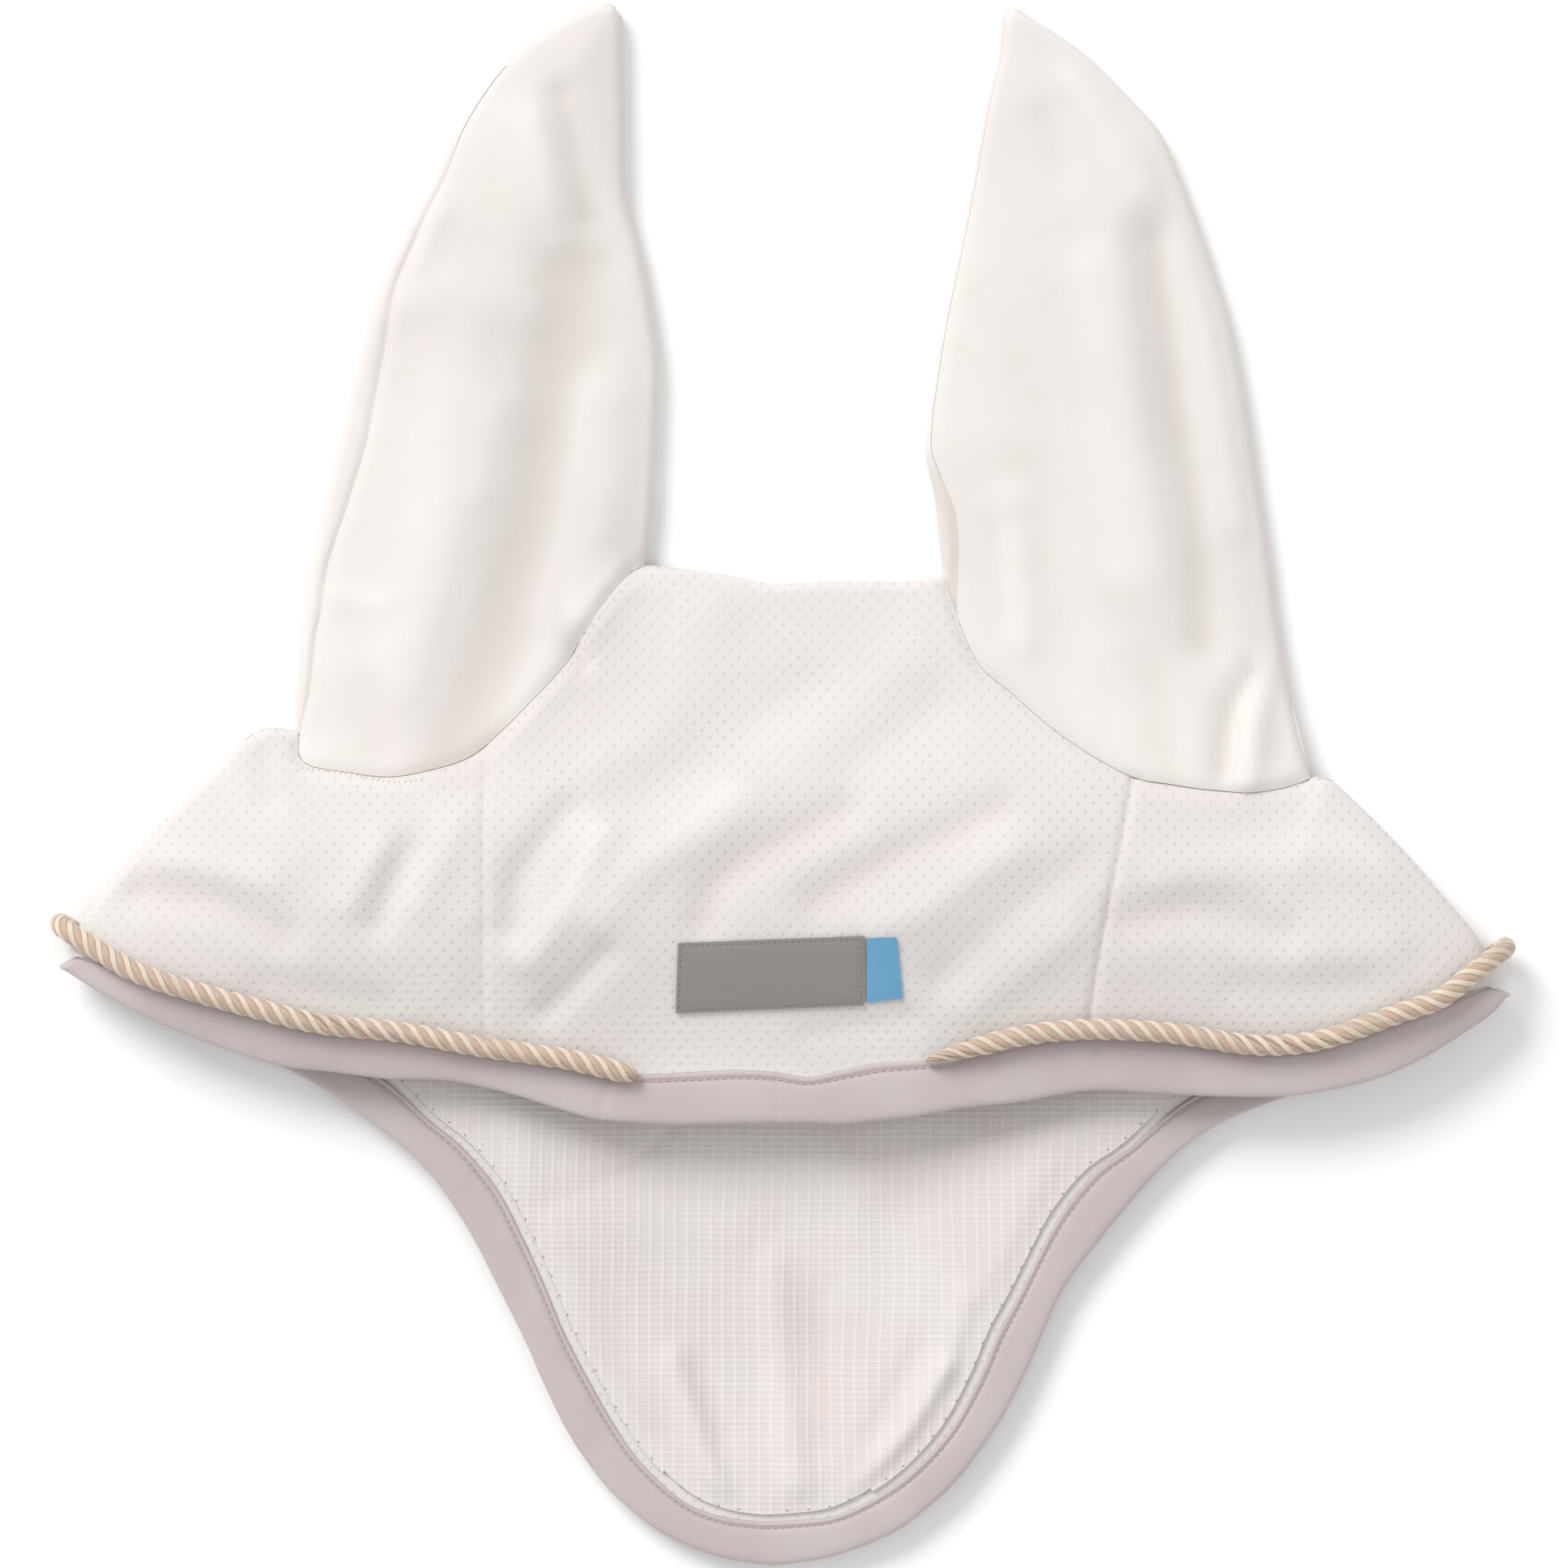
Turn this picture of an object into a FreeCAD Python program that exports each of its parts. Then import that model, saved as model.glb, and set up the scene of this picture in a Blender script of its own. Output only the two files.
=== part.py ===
import FreeCAD, Part
import Mesh
import math
import os

# Horse ear bonnet (fly bonnet), lying flat with the poll face up.
# Row frame: +X to the right, +Y towards the ear tips, +Z up from the surface it lies on.
# Origin: middle of the plan box, on the surface.  All sizes in millimetres.

# ---------------------------------------------------------------- driving dimensions
MESH_T = 1.2            # knit mesh panels
EAR_T = 1.3             # ear fabric
LINING_T = 0.8          # waffle-weave lining
BINDING_T = 3.0         # folded binding, all layers together
CORD_D = 6.2            # twisted trim cord
LABEL_T = 0.6           # woven label
SEAM_GAP = 0.3          # between pieces sewn edge to edge
CUT_GAP = 1.0           # across a fold line, between two bodies
FOLD_R = 3.0            # radius of the rolled folds at the sides and the crown
FOLD_Z_EAR = 3.75       # height of the fold line round the ears
FOLD_Z_BODY = 10.2      # height of the fold line at the sides
EAR_LIFT = 8.0          # how far the upper ear wall stands above its fold
BODY_LIFT = 15.0        # how far the poll panels stand above their fold
EDGE_LIFT = 6.5         # the same at the poll edge
SAG_Z = 1.8             # lowest height of the forehead layer between its cord
CORD_SEAT_Z = 7.2       # height of the forehead layer over its cord
LEFT_HINGE_S = 18.0     # fold line of the left ear above the chord of its base
RIGHT_HINGE_S = 20.0    # fold line of the right ear above the chord of its base
FLAP_HINGE_Y = -116.0   # fold line of the forehead flap
EAR_HINGE_Z = 15.2      # height of both ear fold axes
FLAP_HINGE_Z = 10.6     # height of the flap fold axis
EAR_STRIP = 6.0         # width of the front panel that rolls round to the poll face

# ---------------------------------------------------------------- plan outlines (x, y)
EAR_L_OUT = [(-155.6, 16.1), (-155.6, 30.4), (-153.5, 56.4), (-149.9, 77.2), (-144.4, 100.6),
             (-138.7, 124.0), (-132.7, 147.4), (-127.8, 163.0), (-120.2, 178.6), (-111.7, 194.2),
             (-104.9, 209.8), (-94.5, 225.4), (-84.9, 235.3), (-73.5, 243.1), (-63.6, 248.3), (-58.4, 250.1)]
EAR_L_IN = [(-45.4, 69.9), (-43.3, 81.1), (-42.0, 98.0), (-41.2, 116.2), (-40.7, 131.8),
            (-41.7, 143.5), (-44.1, 157.8), (-46.7, 170.8), (-50.8, 186.4), (-51.6, 199.4),
            (-51.9, 217.6), (-52.2, 233.2), (-52.6, 245.2), (-54.5, 249.1), (-58.4, 250.1)]
EAR_R_OUT = [(168.3, 1.3), (164.7, 14.8), (161.6, 29.1), (157.4, 56.4), (154.6, 77.2), (150.9, 100.6),
             (147.3, 124.0), (142.6, 147.4), (135.3, 170.8), (126.8, 194.2), (120.5, 208.5),
             (112.7, 217.6), (97.1, 233.2), (76.8, 247.0), (73.7, 248.3)]
EAR_R_IN = [(51.6, 67.3), (50.6, 77.2), (48.8, 92.8), (46.1, 107.1), (48.2, 124.0), (51.9, 147.4),
            (56.8, 170.8), (61.5, 194.2), (65.7, 217.6), (69.5, 233.2), (70.6, 243.1), (71.4, 246.7), (73.7, 248.3)]
EAR_L_BASE = [(-155.6, 16.1), (-153.8, 6.5), (-139.5, 3.4), (-126.5, 1.8), (-113.5, 3.9), (-100.5, 8.1),
              (-90.1, 16.6), (-79.7, 27.3), (-69.3, 39.3), (-60.2, 55.1), (-51.1, 66.3), (-45.4, 69.9)]
EAR_R_BASE = [(51.6, 67.3), (53.4, 60.3), (56.8, 49.9), (62.5, 37.7), (72.4, 29.1), (84.1, 18.7),
              (97.1, 9.4), (111.4, 1.8), (123.1, -0.5), (136.1, -2.3), (149.1, -2.9), (159.5, -1.6), (168.3, 1.3)]
CROWN = [(-45.4, 69.9), (-30.3, 68.1), (-17.3, 66.3), (-4.3, 63.7), (8.7, 64.2), (24.3, 64.7), (39.9, 64.5), (51.6, 67.3)]
SIDE_L = [(-155.6, 16.1), (-165.5, 17.4), (-173.3, 13.0), (-184.0, 1.8), (-199.8, -13.8), (-213.8, -29.4),
          (-221.0, -39.3), (-226.0, -47.1), (-229.0, -55.0)]
SIDE_R = [(168.3, 1.3), (174.1, 1.3), (182.7, -6.0), (198.2, -21.6), (211.5, -37.2), (219.5, -46.5),
          (225.0, -55.4), (228.5, -64.0)]
SEAM_L = [(-95.3, 12.2), (-95.8, -19.0), (-95.8, -47.6), (-95.4, -84.8)]
SEAM_R = [(111.4, 1.8), (107.0, -21.6), (101.8, -47.6), (97.0, -79.0)]
# inner edge of the poll binding, left wing tip to right wing tip
POLL_IN = [(-229.0, -55.0), (-216.0, -57.0), (-199.2, -63.5), (-173.3, -71.0), (-147.3, -77.3),
           (-121.3, -80.0), (-95.4, -84.8), (-69.3, -88.5), (-49.8, -92.5), (-25.1, -91.8), (-15.5, -91.3),
           (-2.5, -92.0), (7.7, -93.6), (19.1, -91.3), (31.1, -88.9), (50.3, -87.6), (60.7, -84.8),
           (76.3, -80.9), (97.0, -79.0), (123.1, -80.1), (149.1, -84.0), (169.9, -82.7), (190.7, -75.9),
           (211.5, -68.5), (228.5, -64.0)]
POLL_OUT = [(-231.5, -60.0), (-215.7, -68.4), (-200.3, -76.2), (-181.9, -83.5), (-162.9, -89.7),
            (-145.2, -91.8), (-127.3, -94.1), (-107.0, -94.9), (-95.0, -97.2), (-83.1, -100.2), (-71.1, -104.0),
            (-59.1, -107.1), (-35.2, -108.9), (-11.3, -108.2), (8.7, -108.4), (22.0, -108.4), (42.5, -106.1),
            (60.2, -103.2), (75.8, -101.4), (90.1, -98.8), (102.0, -98.0), (120.0, -98.8), (138.7, -99.8),
            (155.9, -99.8), (172.0, -98.3), (190.7, -93.9), (205.5, -87.1), (218.0, -79.3), (227.1, -72.8),
            (231.8, -68.5)]
# inner and outer edge of the forehead binding, each from a wing tip to the tip of the flap
FORE_IN_L = [(-229.0, -55.0), (-216.0, -57.5), (-199.2, -64.0), (-173.3, -73.0), (-155.1, -81.4),
             (-134.3, -91.0), (-124.7, -97.5), (-114.0, -107.6), (-103.6, -116.0), (-92.4, -129.2), (-84.1, -144.8),
             (-77.1, -160.2), (-71.1, -174.7), (-63.8, -189.0), (-52.9, -208.0), (-44.3, -219.2),
             (-32.1, -230.1), (-19.9, -235.0), (-6.9, -236.6)]
FORE_OUT_L = [(-230.5, -59.5), (-214.7, -67.0), (-199.3, -74.5), (-180.9, -82.5), (-162.0, -90.3),
              (-146.5, -98.6), (-134.0, -107.4), (-122.3, -116.0), (-115.3, -123.0), (-109.1, -130.8),
              (-99.2, -146.4), (-91.4, -162.0), (-83.6, -177.6), (-76.6, -193.2), (-68.8, -208.8),
              (-57.9, -224.4), (-49.8, -232.2), (-39.6, -240.0), (-21.2, -247.8), (-3.0, -250.6)]
FORE_IN_R = [(228.5, -64.0), (211.5, -69.5), (190.7, -76.8), (172.0, -83.5), (149.1, -92.0),
             (128.8, -101.6), (111.7, -116.0), (99.7, -124.5), (89.0, -137.5), (81.8, -150.8), (75.8, -162.8),
             (68.8, -175.8), (62.8, -190.1), (53.7, -206.7), (41.5, -220.2), (29.2, -228.8), (17.0, -234.5),
             (4.8, -236.1), (-6.9, -236.6)]
FORE_OUT_R = [(230.8, -68.0), (226.1, -72.3), (217.0, -78.3), (204.5, -85.9), (189.7, -92.4),
              (176.4, -95.7), (163.4, -99.6), (141.6, -107.9), (129.1, -116.0), (121.3, -123.0), (114.0, -130.8),
              (101.0, -146.4), (89.6, -162.0), (82.5, -177.6), (75.5, -193.2), (66.4, -208.8), (54.5, -224.4),
              (46.1, -232.2), (35.2, -240.0), (15.7, -247.8), (-3.0, -250.6)]
LABEL = [(-33.7, -50.7), (25.6, -48.4), (25.6, -70.5), (-34.5, -73.1)]
LABEL_TAB = [(26.4, -49.1), (35.8, -48.9), (37.8, -68.4), (26.4, -69.7)]
POLL_CORD_L_END = (-49.8, -91.0)     # tucked end of the cord, left of the bare middle
POLL_CORD_R_END = (50.3, -87.9)      # tucked end of the cord, right of the bare middle
CENTRE_BACK_X = -2.5                 # butt joint of the binding


# ---------------------------------------------------------------- curves
def smooth(pts, step=2.0):
    """Points along a Catmull-Rom curve through pts, about step apart."""
    out = []
    n = len(pts)
    for i in range(n - 1):
        p0 = pts[max(i - 1, 0)]
        p1, p2 = pts[i], pts[i + 1]
        p3 = pts[min(i + 2, n - 1)]
        m = max(1, int(round(math.dist(p1, p2) / step)))
        for k in range(m):
            t = k / m
            out.append(tuple(0.5 * (2 * b + (c - a) * t + (2 * a - 5 * b + 4 * c - d) * t * t
                                    + (3 * b - a - 3 * c + d) * t ** 3) for a, b, c, d in zip(p0, p1, p2, p3)))
    out.append(tuple(pts[-1]))
    return out


def lengths(poly):
    acc = [0.0]
    for a, b in zip(poly, poly[1:]):
        acc.append(acc[-1] + math.dist(a, b))
    return acc


class Curve:
    def __init__(self, pts, step=2.0):
        self.p = smooth(pts, step)
        self.s = lengths(self.p)

    def at(self, t):
        """Point at the fraction t of the length."""
        want = min(max(t, 0.0), 1.0) * self.s[-1]
        lo, hi = 0, len(self.s) - 1
        while hi - lo > 1:
            mid = (lo + hi) // 2
            if self.s[mid] <= want:
                lo = mid
            else:
                hi = mid
        span = self.s[hi] - self.s[lo]
        f = (want - self.s[lo]) / span if span > 0 else 0.0
        return tuple(a + (b - a) * f for a, b in zip(self.p[lo], self.p[hi]))

    def where(self, test):
        """Fraction of the length where test(point) first changes sign."""
        last = test(self.p[0])
        for i in range(1, len(self.p)):
            now = test(self.p[i])
            if (now > 0) != (last > 0):
                f = last / (last - now)
                return (self.s[i - 1] + f * (self.s[i] - self.s[i - 1])) / self.s[-1]
            last = now
        return 1.0

    def part(self, t0, t1, n=24):
        return [self.at(t0 + (t1 - t0) * k / n) for k in range(n + 1)]


class Line(Curve):
    def __init__(self, pts):
        self.p = [tuple(p) for p in pts]
        self.s = lengths(self.p)


# ---------------------------------------------------------------- heights
CHAINS = [smooth(list(reversed(SIDE_L)), 4.0) + smooth(EAR_L_OUT, 4.0),
          smooth(list(reversed(EAR_L_IN)), 4.0) + smooth(CROWN, 4.0) + smooth(EAR_R_IN, 4.0),
          smooth(list(reversed(EAR_R_OUT)), 4.0) + smooth(SIDE_R, 4.0)]
CORD_RUN = smooth(FORE_IN_L, 4.0) + smooth(list(reversed(FORE_IN_R)), 4.0)


def dist_to(chain, x, y):
    best = 1e18
    for (ax, ay), (bx, by) in zip(chain, chain[1:]):
        vx, vy = bx - ax, by - ay
        q = vx * vx + vy * vy
        t = 0.0 if q == 0 else max(0.0, min(1.0, ((x - ax) * vx + (y - ay) * vy) / q))
        dx, dy = ax + vx * t - x, ay + vy * t - y
        best = min(best, dx * dx + dy * dy)
    return math.sqrt(best)


def edge_distance(x, y):
    """Distance to the folded outline, smoothed where two edges are equally near."""
    total = 0.0
    for chain in CHAINS:
        total += max(dist_to(chain, x, y), 1e-3) ** -4
    return total ** -0.25


def step01(a, b, x):
    t = max(0.0, min(1.0, (x - a) / (b - a)))
    return t * t * (3 - 2 * t)


def quarter(d, r):
    t = 1.0 - min(d / r, 1.0)
    return math.sqrt(max(0.0, 1.0 - t * t))


def fold_z(x, y):
    return FOLD_Z_EAR + (FOLD_Z_BODY - FOLD_Z_EAR) * step01(62.0, -28.0, y)


def lift(x, y):
    body = EAR_LIFT + (BODY_LIFT - EAR_LIFT) * step01(35.0, -25.0, y)
    return body + (EDGE_LIFT - body) * step01(-40.0, -92.0, y)


def upper_z(x, y):
    """Middle of the upper (poll) layer."""
    d = edge_distance(x, y)
    return fold_z(x, y) + FOLD_R * quarter(d, FOLD_R) + lift(x, y) * (1.0 - math.exp(-d / 30.0))


def rest_z(x, y):
    """Where the lower layer lies once clear of the folds."""
    near = 1.0 - step01(9.0, 55.0, dist_to(CORD_RUN, x, y))
    return EAR_T / 2 + 0.1 + (SAG_Z - 0.75 + (CORD_SEAT_Z - SAG_Z) * near) * step01(60.0, 10.0, y)


def lower_z(x, y):
    """Middle of the lower (forehead) layer."""
    d = edge_distance(x, y)
    f = fold_z(x, y)
    return f - (f - rest_z(x, y)) * quarter(d, FOLD_R)


# ---------------------------------------------------------------- solids from point grids
def quads_of(grid, faces):
    for row_a, row_b in zip(grid, grid[1:]):
        for k in range(len(row_a) - 1):
            faces.append((row_a[k], row_a[k + 1], row_b[k + 1], row_b[k]))


def sheet(grids, thick):
    """Closed solid of the given thickness about one or more point grids that share edges."""
    index, verts = {}, []

    def vid(p):
        key = (round(p[0], 3), round(p[1], 3), round(p[2], 3))
        if key not in index:
            index[key] = len(verts)
            verts.append(key)
        return index[key]

    tris = []
    for grid in grids:
        quads = []
        quads_of(grid, quads)
        for q in quads:
            a, b, c, d = [vid(p) for p in q]
            for t in ((a, b, c), (a, c, d)):
                if len(set(t)) == 3:
                    tris.append(t)
    normal = [[0.0, 0.0, 0.0] for _ in verts]
    for a, b, c in tris:
        ux, uy, uz = [verts[b][i] - verts[a][i] for i in range(3)]
        vx, vy, vz = [verts[c][i] - verts[a][i] for i in range(3)]
        n = (uy * vz - uz * vy, uz * vx - ux * vz, ux * vy - uy * vx)
        for t in (a, b, c):
            for i in range(3):
                normal[t][i] += n[i]
    top, bot = [], []
    for v, n in zip(verts, normal):
        m = math.sqrt(sum(k * k for k in n)) or 1.0
        top.append(tuple(v[i] + n[i] / m * thick / 2 for i in range(3)))
        bot.append(tuple(v[i] - n[i] / m * thick / 2 for i in range(3)))
    edges = {}
    for t in tris:
        for a, b in ((t[0], t[1]), (t[1], t[2]), (t[2], t[0])):
            edges[(a, b)] = edges.get((a, b), 0) + 1
    facets = []
    for a, b, c in tris:
        facets.append((top[a], top[b], top[c]))
        facets.append((bot[a], bot[c], bot[b]))
    for a, b in edges:
        if (b, a) not in edges:
            facets.append((top[a], bot[a], bot[b]))
            facets.append((top[a], bot[b], top[b]))
    return solid_of(facets)


def solid_of(facets):
    mesh = Mesh.Mesh([[FreeCAD.Vector(*p) for p in f] for f in facets])
    shape = Part.Shape()
    shape.makeShapeFromMesh(mesh.Topology, 0.002)
    shell = shape.Shells[0] if shape.Shells else Part.makeShell(shape.Faces)
    if len(shape.Shells) != 1:
        raise ValueError("the facets make %d shells, not one" % len(shape.Shells))
    solid = Part.makeSolid(shell)
    if solid.Volume < 0:
        solid.reverse()
    return solid


def tube(path, radius, sides=8):
    """Faceted round cord along a path of points."""
    rings = []
    n = len(path)
    for i, p in enumerate(path):
        a, b = path[max(i - 1, 0)], path[min(i + 1, n - 1)]
        t = FreeCAD.Vector(*[b[k] - a[k] for k in range(3)]).normalize()
        ref = FreeCAD.Vector(0, 0, 1)
        if i == 0:
            side = t.cross(ref).normalize()
            if side.Length < 0.5:
                side = FreeCAD.Vector(1, 0, 0)
        else:
            side = (side - t * side.dot(t)).normalize()
        up = side.cross(t).normalize()
        c = FreeCAD.Vector(*p)
        rings.append([c + (side * math.cos(2 * math.pi * (k + 0.5) / sides)
                           + up * math.sin(2 * math.pi * (k + 0.5) / sides)) * radius for k in range(sides)])
    facets = []
    for r0, r1 in zip(rings, rings[1:]):
        for k in range(sides):
            m = (k + 1) % sides
            facets.append((r0[k], r0[m], r1[m]))
            facets.append((r0[k], r1[m], r1[k]))
    for ring, flip in ((rings[0], True), (rings[-1], False)):
        for k in range(1, sides - 1):
            f = (ring[0], ring[k], ring[k + 1])
            facets.append(tuple(reversed(f)) if flip else f)
    return solid_of(facets)


def coons(top, bottom, left, right, us, vs):
    """Plan grid of a four-sided patch; u runs along top and bottom, v from top to bottom."""
    c00, c10, c01, c11 = top.at(0), top.at(1), bottom.at(0), bottom.at(1)
    grid = []
    for v in vs:
        row = []
        for u in us:
            t, b, l, r = top.at(u), bottom.at(u), left.at(v), right.at(v)
            row.append(tuple((1 - v) * t[i] + v * b[i] + (1 - u) * l[i] + u * r[i]
                             - ((1 - u) * (1 - v) * c00[i] + u * (1 - v) * c10[i]
                                + (1 - u) * v * c01[i] + u * v * c11[i]) for i in range(2)))
        grid.append(row)
    return grid


def raised(grid, height, extra=0.0):
    return [[(x, y, height(x, y) + extra) for x, y in row] for row in grid]


def spread(n, lo=0.0, hi=1.0):
    return [lo + (hi - lo) * k / n for k in range(n + 1)]


# ---------------------------------------------------------------- shared curves
base_l = Curve(EAR_L_BASE)
base_r = Curve(EAR_R_BASE)
split_l = base_l.where(lambda p: p[0] - SEAM_L[0][0])
split_r = base_r.where(lambda p: p[0] - SEAM_R[0][0])
poll_in = Curve(POLL_IN)
poll_out = Curve(POLL_OUT)
fore_in_l, fore_out_l = Curve(FORE_IN_L), Curve(FORE_OUT_L)
fore_in_r, fore_out_r = Curve(FORE_IN_R), Curve(FORE_OUT_R)
cut_root = FLAP_HINGE_Y + CUT_GAP / 2
cut_flap = FLAP_HINGE_Y - CUT_GAP / 2
FOLD_STEPS = [0.0, 0.003, 0.012, 0.03, 0.07, 0.14]      # columns crowded at a fold


def corner(curve, y):
    return curve.at(curve.where(lambda p: p[1] - y))


nodes = {}

# ---------------------------------------------------------------- centre panel
in_l = poll_in.where(lambda p: p[0] - SEAM_L[-1][0])
in_r = poll_in.where(lambda p: p[0] - SEAM_R[-1][0])
gap = SEAM_GAP / 2
top_centre = Line(base_l.part(split_l, 1.0, 12) + Curve(CROWN).part(0, 1, 12)[1:] + base_r.part(0.0, split_r, 12)[1:])
u_a = lengths(top_centre.p)[12] / top_centre.s[-1]      # where the crown fold starts
u_b = lengths(top_centre.p)[24] / top_centre.s[-1]      # where it ends
us = spread(5, 0.0, u_a) + spread(7, u_a, u_b)[1:] + spread(5, u_b, 1.0)[1:]
us = [gap / 190.0] + us[1:-1] + [1 - gap / 190.0]
vs = FOLD_STEPS + [0.24, 0.36, 0.48, 0.6, 0.72, 0.84, 0.93, 1.0 - SEAM_GAP / 155.0]
seam_l, seam_r = Curve(SEAM_L), Curve(SEAM_R)
plan_poll = coons(top_centre, Line(poll_in.part(in_l, in_r)), seam_l, seam_r, us, vs)
seam_lf = Curve(SEAM_L[:-1] + [(-95.4, -84.8), (-94.5, cut_root)])
seam_rf = Curve(SEAM_R[:-1] + [(97.0, -79.0), (98.0, cut_root)])
plan_fore = coons(top_centre, Line([(-94.5, cut_root), (98.0, cut_root)]), seam_lf, seam_rf, us, vs[:-1] + [1.0])
up = raised(plan_poll, upper_z)
down = raised(plan_fore, lower_z)
# along the ear openings the two faces stay apart; along the crown they share the fold
for j in range(len(us)):
    if u_a - 1e-6 <= us[j] <= u_b + 1e-6:
        x, y = plan_poll[0][j]
        up[0][j] = down[0][j] = (x, y, fold_z(x, y))
    else:
        up[0][j] = up[0][j][:2] + (up[0][j][2] + 0.15,)
        down[0][j] = down[0][j][:2] + (down[0][j][2] - 0.15,)
nodes["center_panel"] = sheet([up, [list(reversed(r)) for r in down]], MESH_T)

# ---------------------------------------------------------------- side panels, each wraps its side fold
def side_panel(name, side, base, b0, b1, seam, seam_f, poll0, poll1, fore_curve, hinge_x, left):
    inner = hinge_x
    end = fore_curve.where(lambda p: p[1] - cut_root)
    low = fore_curve.part(0.0, end, 20) + [(inner, cut_root)]
    ws = FOLD_STEPS + [0.26, 0.4, 0.55, 0.7, 0.85, 1.0 - SEAM_GAP / 2 / 90.0]
    vv = [0.004, 0.1, 0.22, 0.36, 0.5, 0.64, 0.78, 0.9, 0.985]
    if left:
        top = Line(base.part(b0, b1, 20))
        plan_u = coons(top, Line(poll_in.part(poll0, poll1, 24)), Curve(side), seam, ws, vv)
        plan_d = coons(top, Line(low), Curve(side), seam_f, ws, vv)
    else:
        top = Line(list(reversed(base.part(b0, b1, 20))))
        plan_u = coons(top, Line(list(reversed(poll_in.part(poll0, poll1, 24)))), Curve(side), seam, ws, vv)
        plan_d = coons(top, Line(low), Curve(side), seam_f, ws, vv)
    a = raised(plan_u, upper_z)
    b = raised(plan_d, lower_z)
    # both faces share the fold column
    for row_a, row_b in zip(a, b):
        row_b[0] = row_a[0]
    nodes[name] = sheet([a, [list(reversed(r)) for r in b]], MESH_T)


side_panel("side_panel_left", SIDE_L, base_l, 0.0, split_l, seam_l, seam_lf, 0.0, in_l, fore_in_l, -94.5, True)
side_panel("side_panel_right", SIDE_R, base_r, split_r, 1.0, seam_r, seam_rf, in_r, 1.0, fore_in_r, 98.0, False)

# ---------------------------------------------------------------- lining of the forehead face
def inset(pts, by, towards):
    out = []
    for x, y in pts:
        dx, dy = towards[0] - x, towards[1] - y
        m = math.hypot(dx, dy)
        out.append((x + dx / m * by, y + dy / m * by))
    return out


LINING_UP = MESH_T / 2 + 0.35 + LINING_T / 2
top_line = base_l.part(0.06, 1.0, 20) + Curve(CROWN).part(0, 1, 10)[1:] + base_r.part(0.0, 0.95, 20)[1:]
top_line = inset(top_line, 7.0, (0.0, -60.0))
left_line = Curve(inset(SIDE_L[1:], 7.5, (-60.0, -60.0))[1:-1] + [(-212.0, -51.5)])
right_line = Curve(inset(SIDE_R[1:], 7.5, (60.0, -60.0))[1:-1] + [(211.5, -62.0)])
low_l = fore_in_l.part(fore_in_l.where(lambda p: p[0] + 212.0), fore_in_l.where(lambda p: p[1] - cut_root), 16)
low_r = fore_in_r.part(fore_in_r.where(lambda p: p[0] - 211.5), fore_in_r.where(lambda p: p[1] - cut_root), 16)
low = [(x + 1.5, y + 5.0) for x, y in low_l[:-1]] + [(low_l[-1][0] + 4.0, cut_root)] + [(0.0, cut_root)] \
    + [(low_r[-1][0] - 4.0, cut_root)] + [(x - 1.5, y + 5.0) for x, y in reversed(low_r[:-1])]
left_line.p[0] = top_line[0]
right_line.p[0] = top_line[-1]
left_line.p[-1] = low[0]
right_line.p[-1] = low[-1]
plan = coons(Line(top_line), Line(low), left_line, right_line, spread(18), spread(7))
nodes["forehead_lining"] = sheet([raised(plan, lower_z, LINING_UP + 0.8)], LINING_T)

# ---------------------------------------------------------------- forehead flap
il, ir = fore_in_l.where(lambda p: p[1] - cut_flap), fore_in_r.where(lambda p: p[1] - cut_flap)
ends_l, ends_r = 0.87, 0.87


def flap_plan(inset_by, nu, nv):
    g = inset_by
    left = [(x + g, y) for x, y in fore_in_l.part(il, ends_l, 20)]
    right = [(x - g, y) for x, y in fore_in_r.part(ir, ends_r, 20)]
    left[0] = (left[0][0], cut_flap)
    right[0] = (right[0][0], cut_flap)
    low = [(x + g, y + g) for x, y in fore_in_l.part(ends_l, 0.999, 10)] \
        + [(x - g, y + g) for x, y in reversed(fore_in_r.part(ends_r, 0.999, 10))]
    low[0], low[-1] = left[-1], right[-1]
    return coons(Line([left[0], right[0]]), Line(low), Line(left), Line(right), spread(nu), spread(nv))


nodes["flap_panel"] = sheet([raised(flap_plan(2 * SEAM_GAP, 10, 9), rest_z)], MESH_T)
nodes["flap_lining"] = sheet([raised(flap_plan(3.2, 10, 9), rest_z, LINING_UP)], LINING_T)


# ---------------------------------------------------------------- bindings
def strip(inner, outer, height, extra=0.0, cols=2):
    """Rows along the strip from matching points on its inner and outer edges."""
    return [[(a[0] + (b[0] - a[0]) * k / cols, a[1] + (b[1] - a[1]) * k / cols,
              height(a[0] + (b[0] - a[0]) * k / cols, a[1] + (b[1] - a[1]) * k / cols) + extra)
             for k in range(cols + 1)] for a, b in zip(inner, outer)]


def matched(inner, i0, i1, outer, o0, o1, n):
    return inner.part(i0, i1, n), outer.part(o0, o1, n)


def poll_edge_z(x, y):
    """The poll binding keeps clear of the forehead binding right out to the wing tips."""
    return max(upper_z(x, y), FOLD_Z_BODY + FOLD_R)


mid_in = poll_in.where(lambda p: p[0] - CENTRE_BACK_X)
mid_out = poll_out.where(lambda p: p[0] - CENTRE_BACK_X)
g = SEAM_GAP / 2 / 230.0
a, b = matched(poll_in, 0.016, mid_in - g, poll_out, 0.006, mid_out - g, 20)
nodes["poll_binding_left"] = sheet([strip(a, b, poll_edge_z)], BINDING_T)
a, b = matched(poll_in, mid_in + g, 0.984, poll_out, mid_out + g, 0.994, 20)
nodes["poll_binding_right"] = sheet([strip(a, b, poll_edge_z)], BINDING_T)

FORE_UP = (LINING_UP + LINING_T / 2 - MESH_T / 2) / 2


def fore_edge_z(x, y):
    return CORD_SEAT_Z + EAR_T / 2 + 0.1 - 0.75 + FORE_UP


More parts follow.
